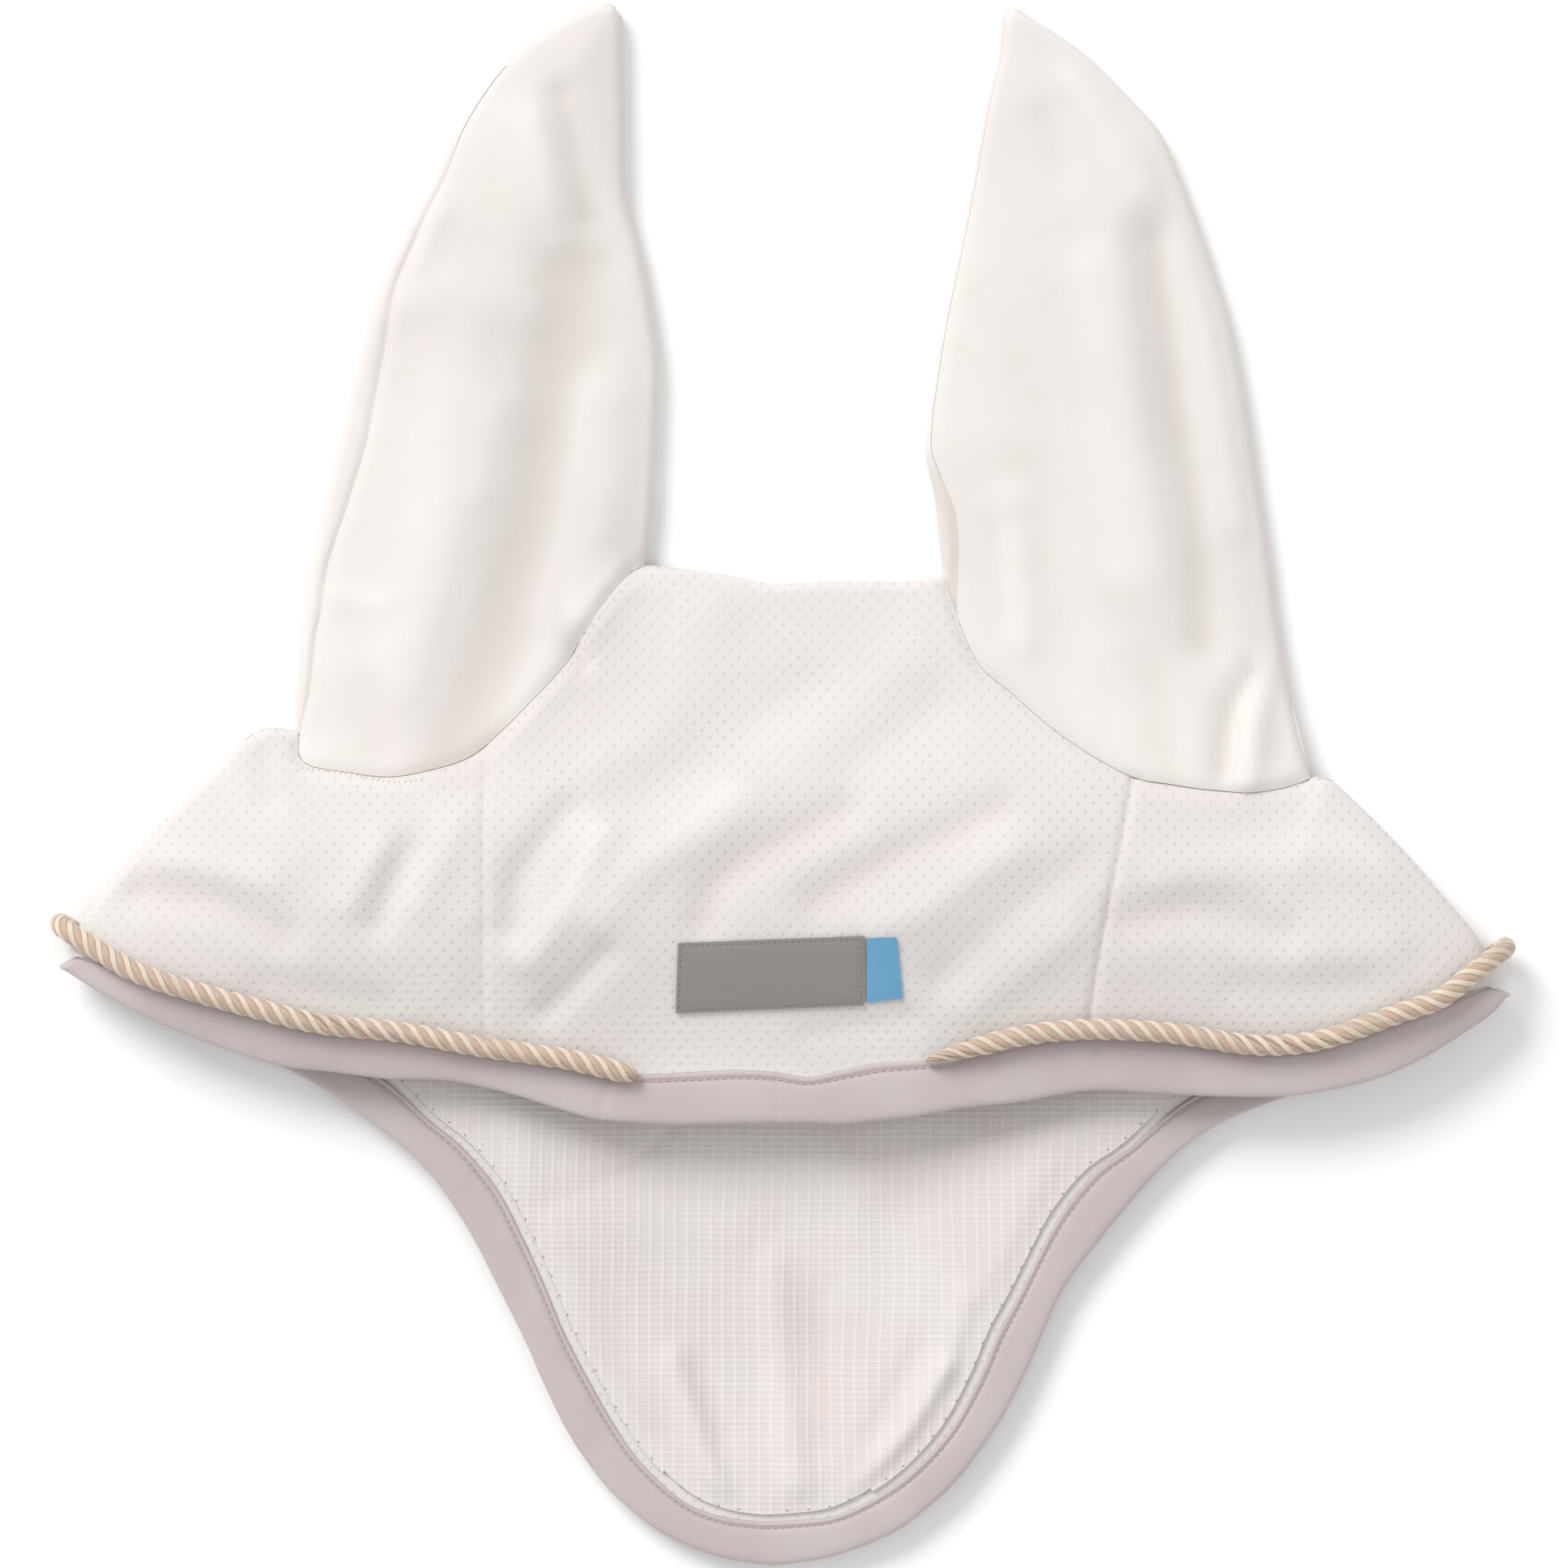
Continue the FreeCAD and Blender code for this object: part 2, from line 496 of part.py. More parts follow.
for name, ci, co in (("left", fore_in_l, fore_out_l), ("right", fore_in_r, fore_out_r)):
    ti = ci.where(lambda p: p[1] - cut_root)
    to = co.where(lambda p: p[1] - cut_root)
    a, b = matched(ci, 0.02, ti, co, 0.008, to, 14)
    a[-1], b[-1] = (a[-1][0], cut_root), (b[-1][0], cut_root)
    nodes["forehead_binding_" + name] = sheet([strip(a, b, fore_edge_z)], BINDING_T)

ol, o_r = fore_out_l.where(lambda p: p[1] - cut_flap), fore_out_r.where(lambda p: p[1] - cut_flap)
a1, b1 = matched(fore_in_l, il, 1.0, fore_out_l, ol, 1.0, 14)
a2, b2 = matched(fore_in_r, ir, 1.0, fore_out_r, o_r, 1.0, 14)
a1[0], b1[0] = (a1[0][0], cut_flap), (b1[0][0], cut_flap)
a2[0], b2[0] = (a2[0][0], cut_flap), (b2[0][0], cut_flap)
nodes["flap_binding"] = sheet([strip(a1 + list(reversed(a2))[1:], b1 + list(reversed(b2))[1:], fore_edge_z)], BINDING_T)

# ---------------------------------------------------------------- trim cord (one cord, cut at the flap's fold line)
R = CORD_D / 2
CORD_UP = BINDING_T / 2 + 0.35 + R


def poll_cord(t0, t1, n, off=0.8):
    """The cord lies on the binding and just clear of the mesh that rises beside it."""
    out = []
    for x, y in poll_in.part(t0, t1, n):
        z = poll_edge_z(x, y) + CORD_UP
        for k in (0.0, 1.0, 2.0, 2.8):
            z = max(z, upper_z(x, y + off + k) + MESH_T / 2 + 0.5 + math.sqrt(R * R - k * k))
        out.append((x, y + off, z))
    return out


t_l = poll_in.where(lambda p: p[0] - POLL_CORD_L_END[0])
t_r = poll_in.where(lambda p: p[0] - POLL_CORD_R_END[0])
low_z = R * math.cos(math.pi / 8)
il_root = fore_in_l.where(lambda p: p[1] - (cut_root + 0.2))
ir_root = fore_in_r.where(lambda p: p[1] - (cut_root + 0.2))
wrap_l = [(-221.5, -51.5, 20.4), (-229.2, -46.9, 16.9), (-232.0, -44.8, 10.6), (-230.6, -45.6, 5.8), (-224.0, -49.5, low_z)]
wrap_r = [(220.5, -60.0, 20.4), (228.3, -54.5, 16.9), (231.2, -52.3, 10.6), (229.6, -53.4, 5.8), (223.0, -58.5, low_z)]
run = list(reversed(poll_cord(0.042, t_l, 22))) + wrap_l \
    + [(x, y + 0.8, low_z) for x, y in fore_in_l.part(0.07, il_root, 16)]
nodes["trim_cord_left"] = tube(run, R)
run = poll_cord(t_r, 0.958, 22) + wrap_r + [(x, y + 0.8, low_z) for x, y in fore_in_r.part(0.06, ir_root, 16)]
nodes["trim_cord_right"] = tube(run, R)
il_flap = fore_in_l.where(lambda p: p[1] - (cut_flap - 0.2))
ir_flap = fore_in_r.where(lambda p: p[1] - (cut_flap - 0.2))
run = [(x + 0.4, y, low_z) for x, y in fore_in_l.part(il_flap, 0.995, 20)] \
    + [(x - 0.4, y, low_z) for x, y in reversed(fore_in_r.part(ir_flap, 0.985, 20))]
nodes["trim_cord_flap"] = tube(run, R)

# ---------------------------------------------------------------- ears
EAR_COLS = [0.0, 0.006, 0.02, 0.045, 0.1, 0.2, 0.32, 0.44, 0.56, 0.68, 0.8, 0.9, 0.955, 0.98, 0.994, 1.0]


def ear(side, out_pts, in_pts, base, chord0, direction, s_hinge, strip_on_outer):
    n = (-direction[1], direction[0])

    def s_of(p):
        return (p[0] - chord0[0]) * n[0] + (p[1] - chord0[1]) * n[1]

    co, ci = Curve(out_pts), Curve(in_pts)

    def grid(s0, rows, first):
        """Plan rows from the line s0 towards the tip, or from the base seam to s0."""
        if first:
            lo, li = co.at(co.where(lambda p: s_of(p) - s0)), ci.at(ci.where(lambda p: s_of(p) - s0))
            out = []
            for v in rows:
                row = []
                for w in EAR_COLS:
                    u = w if side == "left" else 1 - w
                    b = base.at(u)
                    h = (lo[0] + (li[0] - lo[0]) * w, lo[1] + (li[1] - lo[1]) * w)
                    row.append((b[0] + (h[0] - b[0]) * v, b[1] + (h[1] - b[1]) * v))
                out.append(row)
            return out
        to, ti = co.where(lambda p: s_of(p) - s0), ci.where(lambda p: s_of(p) - s0)
        out = []
        for v in rows:
            a, b = co.at(to + (1 - to) * v), ci.at(ti + (1 - ti) * v)
            out.append([(a[0] + (b[0] - a[0]) * w, a[1] + (b[1] - a[1]) * w) for w in EAR_COLS])
        return out

    def panels(plan, suffix):
        up, down = raised(plan, upper_z), raised(plan, lower_z)
        back, front = [], []
        for ru, rd in zip(up, down):
            width = math.dist(ru[0][:2], ru[-1][:2])
            if strip_on_outer:
                k0, k1 = 0, len(ru) - 1
            else:
                k0, k1 = len(ru) - 1, 0
            order = range(k0, k1 + (1 if k1 > k0 else -1), 1 if k1 > k0 else -1)
            seq_u = [ru[k] for k in order]
            seq_d = [rd[k] for k in order]
            ws = [abs(EAR_COLS[k] - EAR_COLS[k0]) for k in order]
            frac = min(EAR_STRIP / max(width, 1e-6), 0.25)

            def at(seq, f):
                for i in range(len(ws) - 1):
                    if ws[i + 1] >= f:
                        t = (f - ws[i]) / (ws[i + 1] - ws[i])
                        return tuple(p + (q - p) * t for p, q in zip(seq[i], seq[i + 1]))
                return seq[-1]

            gapf = SEAM_GAP / max(width, 1e-6)
            keep = 6
            b_row = [at(seq_u, frac + gapf)] + [at(seq_u, frac + (0.9 - frac) * k / keep) for k in range(1, keep)] + seq_u[-5:]
            f_row = [at(seq_u, frac)] + [at(seq_u, frac * 0.5)] + [seq_u[i] for i in (2, 1, 0)] + seq_d[1:]
            # leave the seam gap at the other edge
            e = f_row[-1]
            f_row[-1] = (e[0], e[1], e[2] - SEAM_GAP / 2)
            e = b_row[-1]
            b_row[-1] = (e[0], e[1], e[2] + SEAM_GAP / 2)
            back.append(b_row)
            front.append(f_row)
        nodes[side + "_ear_back" + suffix] = sheet([back], EAR_T)
        nodes[side + "_ear_front" + suffix] = sheet([front], EAR_T)

    panels(grid(s_hinge - CUT_GAP / 2, [0.07, 0.25, 0.5, 0.75, 1.0], True), "_base")
    panels(grid(s_hinge + CUT_GAP / 2, [0.0, 0.09, 0.18, 0.28, 0.38, 0.48, 0.58, 0.68, 0.78, 0.87, 0.93, 0.97], False), "")


def unit(a, b):
    m = math.dist(a, b)
    return ((b[0] - a[0]) / m, (b[1] - a[1]) / m)


CHORD_L = ((-153.8, 6.5), (-45.4, 69.9))
CHORD_R = ((51.1, 66.3), (167.8, 1.8))
dir_l, dir_r = unit(*CHORD_L), unit(*CHORD_R)
ear("left", EAR_L_OUT, EAR_L_IN, base_l, CHORD_L[0], dir_l, LEFT_HINGE_S, True)
ear("right", EAR_R_OUT, EAR_R_IN, base_r, CHORD_R[0], dir_r, RIGHT_HINGE_S, False)

# ---------------------------------------------------------------- label and its side tab
def patch(corners, up, thick, nu, nv):
    a, b, c, d = corners
    grid = []
    for j in range(nv + 1):
        v = j / nv
        row = []
        for k in range(nu + 1):
            u = k / nu
            x = (1 - v) * ((1 - u) * a[0] + u * b[0]) + v * ((1 - u) * d[0] + u * c[0])
            y = (1 - v) * ((1 - u) * a[1] + u * b[1]) + v * ((1 - u) * d[1] + u * c[1])
            row.append((x, y, upper_z(x, y) + up))
        grid.append(row)
    return sheet([grid], thick)


LABEL_UP = MESH_T / 2 + 0.4 + LABEL_T / 2
nodes["label"] = patch(LABEL, LABEL_UP, LABEL_T, 6, 3)
nodes["label_tab"] = patch(LABEL_TAB, LABEL_UP, LABEL_T, 2, 3)

# ---------------------------------------------------------------- put the origin under the middle of the box
box = FreeCAD.BoundBox()
for shape in nodes.values():
    box.add(shape.BoundBox)
shift = FreeCAD.Vector(-(box.XMin + box.XMax) / 2, -(box.YMin + box.YMax) / 2, -box.ZMin)
for shape in nodes.values():
    shape.translate(shift)

os.makedirs("parts", exist_ok=True)
for name, shape in sorted(nodes.items()):
    shape.exportStep(os.path.join("parts", name + ".step"))
    bb = shape.BoundBox
    print("%-24s faces %4d closed %s valid %s vol %9.1f  x %7.1f %7.1f y %7.1f %7.1f z %6.2f %6.2f" % (
        name, len(shape.Faces), shape.Shells[0].isClosed(), shape.isValid(), shape.Volume,
        bb.XMin, bb.XMax, bb.YMin, bb.YMax, bb.ZMin, bb.ZMax))
print("box", [round(v, 2) for v in (box.XLength, box.YLength, box.ZLength)], "shift", [round(v, 3) for v in shift])
for name, chord, d, s in (("left_ear", CHORD_L, dir_l, LEFT_HINGE_S), ("right_ear", CHORD_R, dir_r, RIGHT_HINGE_S)):
    n = (-d[1], d[0])
    mx, my = (chord[0][0] + chord[1][0]) / 2 + n[0] * s, (chord[0][1] + chord[1][1]) / 2 + n[1] * s
    print("joint", name, "pos", [round(v, 3) for v in (mx + shift.x, my + shift.y, EAR_HINGE_Z + shift.z)],
          "axis", [round(d[0], 5), round(d[1], 5), 0])
print("joint flap pos", [round(v, 3) for v in (0 + shift.x, FLAP_HINGE_Y + shift.y, FLAP_HINGE_Z + shift.z)], "axis [-1, 0, 0]")
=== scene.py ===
import bpy
import json
import math
import numpy as np
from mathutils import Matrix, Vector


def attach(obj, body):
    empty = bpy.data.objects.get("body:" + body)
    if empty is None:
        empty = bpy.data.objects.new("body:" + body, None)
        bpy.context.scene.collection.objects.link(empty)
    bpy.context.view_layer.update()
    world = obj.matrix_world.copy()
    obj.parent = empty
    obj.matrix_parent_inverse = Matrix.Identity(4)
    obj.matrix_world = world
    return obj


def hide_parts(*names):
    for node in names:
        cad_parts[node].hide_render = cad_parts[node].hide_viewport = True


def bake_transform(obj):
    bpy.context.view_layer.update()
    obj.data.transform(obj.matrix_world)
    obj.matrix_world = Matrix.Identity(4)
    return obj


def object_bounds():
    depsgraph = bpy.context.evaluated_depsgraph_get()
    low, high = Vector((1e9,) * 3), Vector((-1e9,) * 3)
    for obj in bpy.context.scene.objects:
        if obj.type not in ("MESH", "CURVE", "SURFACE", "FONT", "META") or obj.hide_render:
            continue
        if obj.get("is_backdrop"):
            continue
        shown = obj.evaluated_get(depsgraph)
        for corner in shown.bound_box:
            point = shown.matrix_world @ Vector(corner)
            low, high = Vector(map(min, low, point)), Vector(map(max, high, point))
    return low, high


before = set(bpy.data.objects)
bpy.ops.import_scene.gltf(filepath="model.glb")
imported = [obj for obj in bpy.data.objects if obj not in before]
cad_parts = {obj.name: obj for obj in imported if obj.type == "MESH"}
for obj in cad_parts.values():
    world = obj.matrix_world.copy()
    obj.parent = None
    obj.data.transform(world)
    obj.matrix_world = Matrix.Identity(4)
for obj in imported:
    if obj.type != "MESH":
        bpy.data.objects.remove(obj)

CAD_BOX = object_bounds()

# Horse ear bonnet.  Outlines are in millimetres in the CAD's own plan, OFF moves them into the row frame.
OFF = np.array([0.416, 0.967, 0.027])
rng = np.random.RandomState(7)

# ------------------------------------------------------------------ outlines, as in the CAD
EAR_L_OUT = [(-155.6, 16.1), (-155.6, 30.4), (-153.5, 56.4), (-149.9, 77.2), (-144.4, 100.6),
             (-138.7, 124.0), (-132.7, 147.4), (-127.8, 163.0), (-120.2, 178.6), (-111.7, 194.2),
             (-104.9, 209.8), (-94.5, 225.4), (-84.9, 235.3), (-73.5, 243.1), (-63.6, 248.3), (-58.4, 250.1)]
EAR_L_IN = [(-45.4, 69.9), (-43.3, 81.1), (-42.0, 98.0), (-41.2, 116.2), (-40.7, 131.8),
            (-41.7, 143.5), (-44.1, 157.8), (-46.7, 170.8), (-50.8, 186.4), (-51.6, 199.4),
            (-51.9, 217.6), (-52.2, 233.2), (-52.6, 245.2), (-54.5, 249.1), (-58.4, 250.1)]
EAR_R_OUT = [(168.3, 1.3), (164.7, 14.8), (161.6, 29.1), (157.4, 56.4), (154.6, 77.2), (150.9, 100.6),
             (147.3, 124.0), (142.6, 147.4), (135.3, 170.8), (126.8, 194.2), (120.5, 208.5),
             (112.7, 217.6), (97.1, 233.2), (76.8, 247.0), (73.7, 248.3)]
EAR_R_IN = [(51.6, 67.3), (50.6, 77.2), (48.8, 92.8), (46.1, 107.1), (48.2, 124.0), (51.9, 147.4),
            (56.8, 170.8), (61.5, 194.2), (65.7, 217.6), (69.5, 233.2), (70.6, 243.1), (71.4, 246.7), (73.7, 248.3)]
EAR_L_BASE = [(-155.6, 16.1), (-153.8, 6.5), (-139.5, 3.4), (-126.5, 1.8), (-113.5, 3.9), (-100.5, 8.1),
              (-90.1, 16.6), (-79.7, 27.3), (-69.3, 39.3), (-60.2, 55.1), (-51.1, 66.3), (-45.4, 69.9)]
EAR_R_BASE = [(51.6, 67.3), (53.4, 60.3), (56.8, 49.9), (62.5, 37.7), (72.4, 29.1), (84.1, 18.7),
              (97.1, 9.4), (111.4, 1.8), (123.1, -0.5), (136.1, -2.3), (149.1, -2.9), (159.5, -1.6), (168.3, 1.3)]
CROWN = [(-45.4, 69.9), (-30.3, 68.1), (-17.3, 66.3), (-4.3, 63.7), (8.7, 64.2), (24.3, 64.7), (39.9, 64.5), (51.6, 67.3)]
SIDE_L = [(-155.6, 16.1), (-165.5, 17.4), (-173.3, 13.0), (-184.0, 1.8), (-199.8, -13.8), (-213.8, -29.4),
          (-221.0, -39.3), (-226.0, -47.1), (-229.0, -55.0)]
SIDE_R = [(168.3, 1.3), (174.1, 1.3), (182.7, -6.0), (198.2, -21.6), (211.5, -37.2), (219.5, -46.5),
          (225.0, -55.4), (228.5, -64.0)]
SEAM_L = [(-95.3, 12.2), (-95.8, -19.0), (-95.8, -47.6), (-95.4, -84.8)]
SEAM_R = [(111.4, 1.8), (107.0, -21.6), (101.8, -47.6), (97.0, -79.0)]
POLL_IN = [(-229.0, -55.0), (-216.0, -57.0), (-199.2, -63.5), (-173.3, -71.0), (-147.3, -77.3),
           (-121.3, -80.0), (-95.4, -84.8), (-69.3, -88.5), (-49.8, -92.5), (-25.1, -91.8), (-15.5, -91.3),
           (-2.5, -92.0), (7.7, -93.6), (19.1, -91.3), (31.1, -88.9), (50.3, -87.6), (60.7, -84.8),
           (76.3, -80.9), (97.0, -79.0), (123.1, -80.1), (149.1, -84.0), (169.9, -82.7), (190.7, -75.9),
           (211.5, -68.5), (228.5, -64.0)]
POLL_OUT = [(-232.6, -58.0), (-215.7, -68.4), (-200.3, -76.2), (-181.9, -83.5), (-162.9, -89.7),
            (-145.2, -91.8), (-127.3, -94.1), (-107.0, -94.9), (-95.0, -97.2), (-83.1, -100.2), (-71.1, -104.0),
            (-59.1, -107.1), (-35.2, -108.9), (-11.3, -108.2), (8.7, -108.4), (22.0, -108.4), (42.5, -106.1),
            (60.2, -103.2), (75.8, -101.4), (90.1, -98.8), (102.0, -98.0), (120.0, -98.8), (138.7, -99.8),
            (155.9, -99.8), (172.0, -98.3), (190.7, -93.9), (205.5, -87.1), (218.0, -79.3), (227.1, -72.8),
            (232.6, -66.0)]
FORE_IN_L = [(-229.0, -55.0), (-216.0, -57.5), (-199.2, -64.0), (-173.3, -73.0), (-155.1, -81.4),
             (-134.3, -91.0), (-124.7, -97.5), (-114.0, -107.6), (-103.6, -116.0), (-92.4, -129.2), (-84.1, -144.8),
             (-77.1, -160.2), (-71.1, -174.7), (-63.8, -189.0), (-52.9, -208.0), (-44.3, -219.2),
             (-32.1, -230.1), (-19.9, -235.0), (-6.9, -236.6)]
FORE_OUT_L = [(-231.8, -57.6), (-214.7, -67.0), (-199.3, -74.5), (-180.9, -82.5), (-162.0, -90.3),
              (-146.5, -98.6), (-134.0, -107.4), (-122.3, -116.0), (-115.3, -123.0), (-109.1, -130.8),
              (-99.2, -146.4), (-91.4, -162.0), (-83.6, -177.6), (-76.6, -193.2), (-68.8, -208.8),
              (-57.9, -224.4), (-49.8, -232.2), (-39.6, -240.0), (-21.2, -247.8), (-3.0, -250.6)]
FORE_IN_R = [(228.5, -64.0), (211.5, -69.5), (190.7, -76.8), (172.0, -83.5), (149.1, -92.0),
             (128.8, -101.6), (111.7, -116.0), (99.7, -124.5), (89.0, -137.5), (81.8, -150.8), (75.8, -162.8),
             (68.8, -175.8), (62.8, -190.1), (53.7, -206.7), (41.5, -220.2), (29.2, -228.8), (17.0, -234.5),
             (4.8, -236.1), (-6.9, -236.6)]
FORE_OUT_R = [(232.0, -66.0), (226.1, -72.3), (217.0, -78.3), (204.5, -85.9), (189.7, -92.4),
              (176.4, -95.7), (163.4, -99.6), (141.6, -107.9), (129.1, -116.0), (121.3, -123.0), (114.0, -130.8),
              (101.0, -146.4), (89.6, -162.0), (82.5, -177.6), (75.5, -193.2), (66.4, -208.8), (54.5, -224.4),
              (46.1, -232.2), (35.2, -240.0), (15.7, -247.8), (-3.0, -250.6)]
LABEL = [(-33.7, -50.7), (25.6, -48.4), (25.6, -70.5), (-34.5, -73.1)]
LABEL_TAB = [(26.4, -49.1), (35.8, -48.9), (37.8, -68.4), (26.4, -69.7)]

# ------------------------------------------------------------------ curves and heights
def smooth(pts, step=2.0):
    pts = np.array(pts, float)
    out, n = [], len(pts)
    for i in range(n - 1):
        a, b, c, d = pts[max(i - 1, 0)], pts[i], pts[i + 1], pts[min(i + 2, n - 1)]
        m = max(1, int(round(np.linalg.norm(c - b) / step)))
        t = (np.arange(m) / m)[:, None]
        out.append(0.5 * (2 * b + (c - a) * t + (2 * a - 5 * b + 4 * c - d) * t ** 2 + (3 * b - a - 3 * c + d) * t ** 3))
    out.append(pts[-1:])
    return np.concatenate(out)


class Curve:
    def __init__(self, pts, step=1.5, raw=False):
        self.p = np.array(pts, float) if raw else smooth(pts, step)
        self.s = np.r_[0, np.cumsum(np.linalg.norm(np.diff(self.p, axis=0), axis=1))]
        self.len = self.s[-1]

    def at(self, t):
        q = np.clip(np.asarray(t, float), 0, 1) * self.len
        return np.stack([np.interp(q, self.s, self.p[:, k]) for k in range(self.p.shape[1])], -1)

    def where(self, f):
        v = f(self.p)
        i = np.nonzero((v[1:] > 0) != (v[:-1] > 0))[0]
        if not len(i):
            return 1.0
        i = i[0]
        return (self.s[i] + v[i] / (v[i] - v[i + 1]) * (self.s[i + 1] - self.s[i])) / self.len

    def part(self, a, b, n=60):
        return self.at(np.linspace(a, b, n + 1))


def dist_to(chain, P):
    P = P.reshape(-1, 2)
    a, b = chain[:-1], chain[1:]
    v = b - a
    q = np.maximum((v * v).sum(1), 1e-12)
    out = np.empty(len(P))
    for k in range(0, len(P), 8000):
        p = P[k:k + 8000]
        rx, ry = p[:, None, 0] - a[None, :, 0], p[:, None, 1] - a[None, :, 1]
        t = np.clip((rx * v[:, 0] + ry * v[:, 1]) / q, 0, 1)
        dx, dy = rx - t * v[:, 0], ry - t * v[:, 1]
        out[k:k + 8000] = np.sqrt((dx * dx + dy * dy).min(1))
    return out


def step01(a, b, x):
    t = np.clip((x - a) / (b - a), 0, 1)
    return t * t * (3 - 2 * t)


CHAINS = [np.concatenate([smooth(SIDE_L[::-1], 4), smooth(EAR_L_OUT, 4)]),
          np.concatenate([smooth(EAR_L_IN[::-1], 4), smooth(CROWN, 4), smooth(EAR_R_IN, 4)]),
          np.concatenate([smooth(EAR_R_OUT[::-1], 4), smooth(SIDE_R, 4)])]
CORD_RUN = np.concatenate([smooth(FORE_IN_L, 4), smooth(FORE_IN_R[::-1], 4)])
FOLD_R = 3.0


def edge_d(P):
    t = sum(np.maximum(dist_to(c, P), 1e-3) ** -4.0 for c in CHAINS)
    return t ** -0.25


def quarter(d, r=FOLD_R):
    return np.sqrt(np.maximum(0, 1 - (1 - np.minimum(d / r, 1)) ** 2))


def fold_z(P):
    return 3.75 + 6.45 * step01(62, -28, P[:, 1])


def rest_z(P):
    near = 1 - step01(9, 55, dist_to(CORD_RUN, P))
    return 0.75 + (1.05 + 5.4 * near) * step01(60, 10, P[:, 1])


# creases: (points, height in mm, half width in mm); ridges stand up and valleys sink
UP_CREASES = [
    # poll centre
    ([(-69.2, -8.8), (-83.5, -28.3), (-86.8, -45.2)], -2.4, 6.0), ([(-57.5, -16.6), (-69.2, -38.7), (-80.9, -55.6)], 1.8, 6.0),
    ([(19.2, -8.8), (-17.2, -28.3), (-25.5, -42.6)], -2.2, 7.0), ([(-17.2, -6.2), (-48.4, -28.3), (-58.8, -40.0)], 1.7, 8.0),
    ([(68.6, -8.8), (34.8, -23.9), (11.4, -37.4)], -1.9, 7.0), ([(71.2, -20.5), (42.6, -40.0), (29.6, -45.2)], 1.6, 7.0),
    ([(-57.5, -54.3), (-75.7, -72.5)], -1.8, 5.0), ([(94.6, -24.4), (64.7, -47.8), (50.4, -60.8)], -1.3, 7.0),
    ([(89.4, -47.8), (58.2, -71.2)], 1.2, 7.0), ([(-27.6, 53.6), (-43.2, 17.2), (-69.2, -4.9)], 1.2, 14.0),
    ([(11.4, 32.8), (-22.4, 9.4), (-53.6, -4.9)], -1.2, 10.0), ([(40.0, 43.2), (11.4, 17.2), (-17.2, 1.6)], 1.0, 12.0),
    ([(47.8, 22.4), (21.8, 4.2)], -1.0, 8.0), ([(8.8, -80.3), (40.0, -75.1)], -0.9, 5.0),
    # left panel
    ([(-119.9, -21.8), (-129.5, -43.9)], -2.2, 5.5), ([(-129.0, -20.5), (-139.4, -37.4)], 1.3, 6.0), ([(-105.6, -14.0), (-116.0, -37.4)], 1.2, 6.0),
    ([(-205.7, -34.8), (-182.3, -37.4), (-160.2, -47.8)], -2.2, 7.0), ([(-199.2, -24.4), (-165.4, -29.6)], 1.4, 8.0),
    ([(-165.4, -63.4), (-129.0, -69.9)], -1.0, 6.0), ([(-166.7, 10.7), (-164.1, -4.9)], -1.2, 5.0), ([(-97.8, -47.8), (-99.1, -68.6)], -0.8, 5.0),
    # right panel
    ([(108.9, -43.9), (133.6, -40.0), (159.6, -47.8)], -2.2, 7.5), ([(120.6, -29.6), (164.8, -21.8), (190.8, -24.4)], 1.7, 11.0),
    ([(164.8, -53.0), (190.8, -51.7)], 1.1, 8.0), ([(144.0, -64.7), (185.6, -64.7)], -0.9, 6.0),
    # left ear
    ([(-69.2, 165.4), (-71.8, 142.0), (-79.0, 95.2), (-92.6, 45.8), (-104.3, 10.7)], -3.0, 15.0), ([(-105.6, 134.2), (-110.8, 84.8), (-121.2, 35.4)], 1.6, 16.0),
    ([(-123.8, 154.4), (-105.6, 160.2), (-84.8, 151.1)], 0.9, 8.0), ([(-121.2, 140.7), (-95.2, 138.1)], -0.7, 9.0), ([(-117.3, 168.5), (-110.8, 183.6)], 1.0, 5.0),
    ([(-71.8, 220.0), (-63.4, 182.3)], -2.0, 6.0), ([(-79.6, 212.2), (-71.8, 175.8)], 1.3, 8.0), ([(-67.9, 44.5), (-64.5, 39.3)], -2.2, 4.0),
    ([(-58.8, 121.2), (-61.4, 84.8), (-69.2, 58.8)], 1.8, 10.0), ([(-84.8, 19.8), (-69.2, 43.2), (-53.6, 64.0)], 1.2, 7.0),
    ([(-134.2, 27.6), (-129.0, 9.4)], -1.2, 6.0), ([(-144.6, 60.1), (-129.0, 58.2)], 0.9, 4.0), ([(-90.0, 121.2), (-95.2, 95.2)], 0.9, 7.0),
    # right ear
    ([(119.3, 173.2), (125.1, 121.2), (131.8, 84.8), (133.6, 44.5)], -2.4, 7.5), ([(97.2, 178.4), (105.0, 126.4), (110.2, 69.2)], 1.8, 14.0),
    ([(129.7, 173.2), (138.8, 126.4), (144.0, 84.8)], 1.4, 8.0), ([(157.6, 37.4), (150.5, 25.0), (147.2, 0.3)], 2.6, 4.2),
    ([(150.5, 34.1), (142.7, 22.4), (140.1, 4.2)], -2.4, 4.5), ([(162.2, 27.6), (159.6, 9.4)], -1.3, 4.0),
    ([(76.4, 142.0), (80.3, 95.2), (86.8, 48.4)], -1.2, 14.0), ([(118.0, 38.0), (123.2, 6.8)], -1.3, 8.0), ([(73.8, 90.0), (77.7, 45.8)], 1.6, 6.0),
    ([(68.6, 82.2), (71.2, 53.6)], -1.2, 4.5), ([(94.6, 225.2), (112.8, 191.4)], 1.3, 8.0), ([(84.2, 212.2), (94.6, 178.4)], -1.2, 8.0),
]
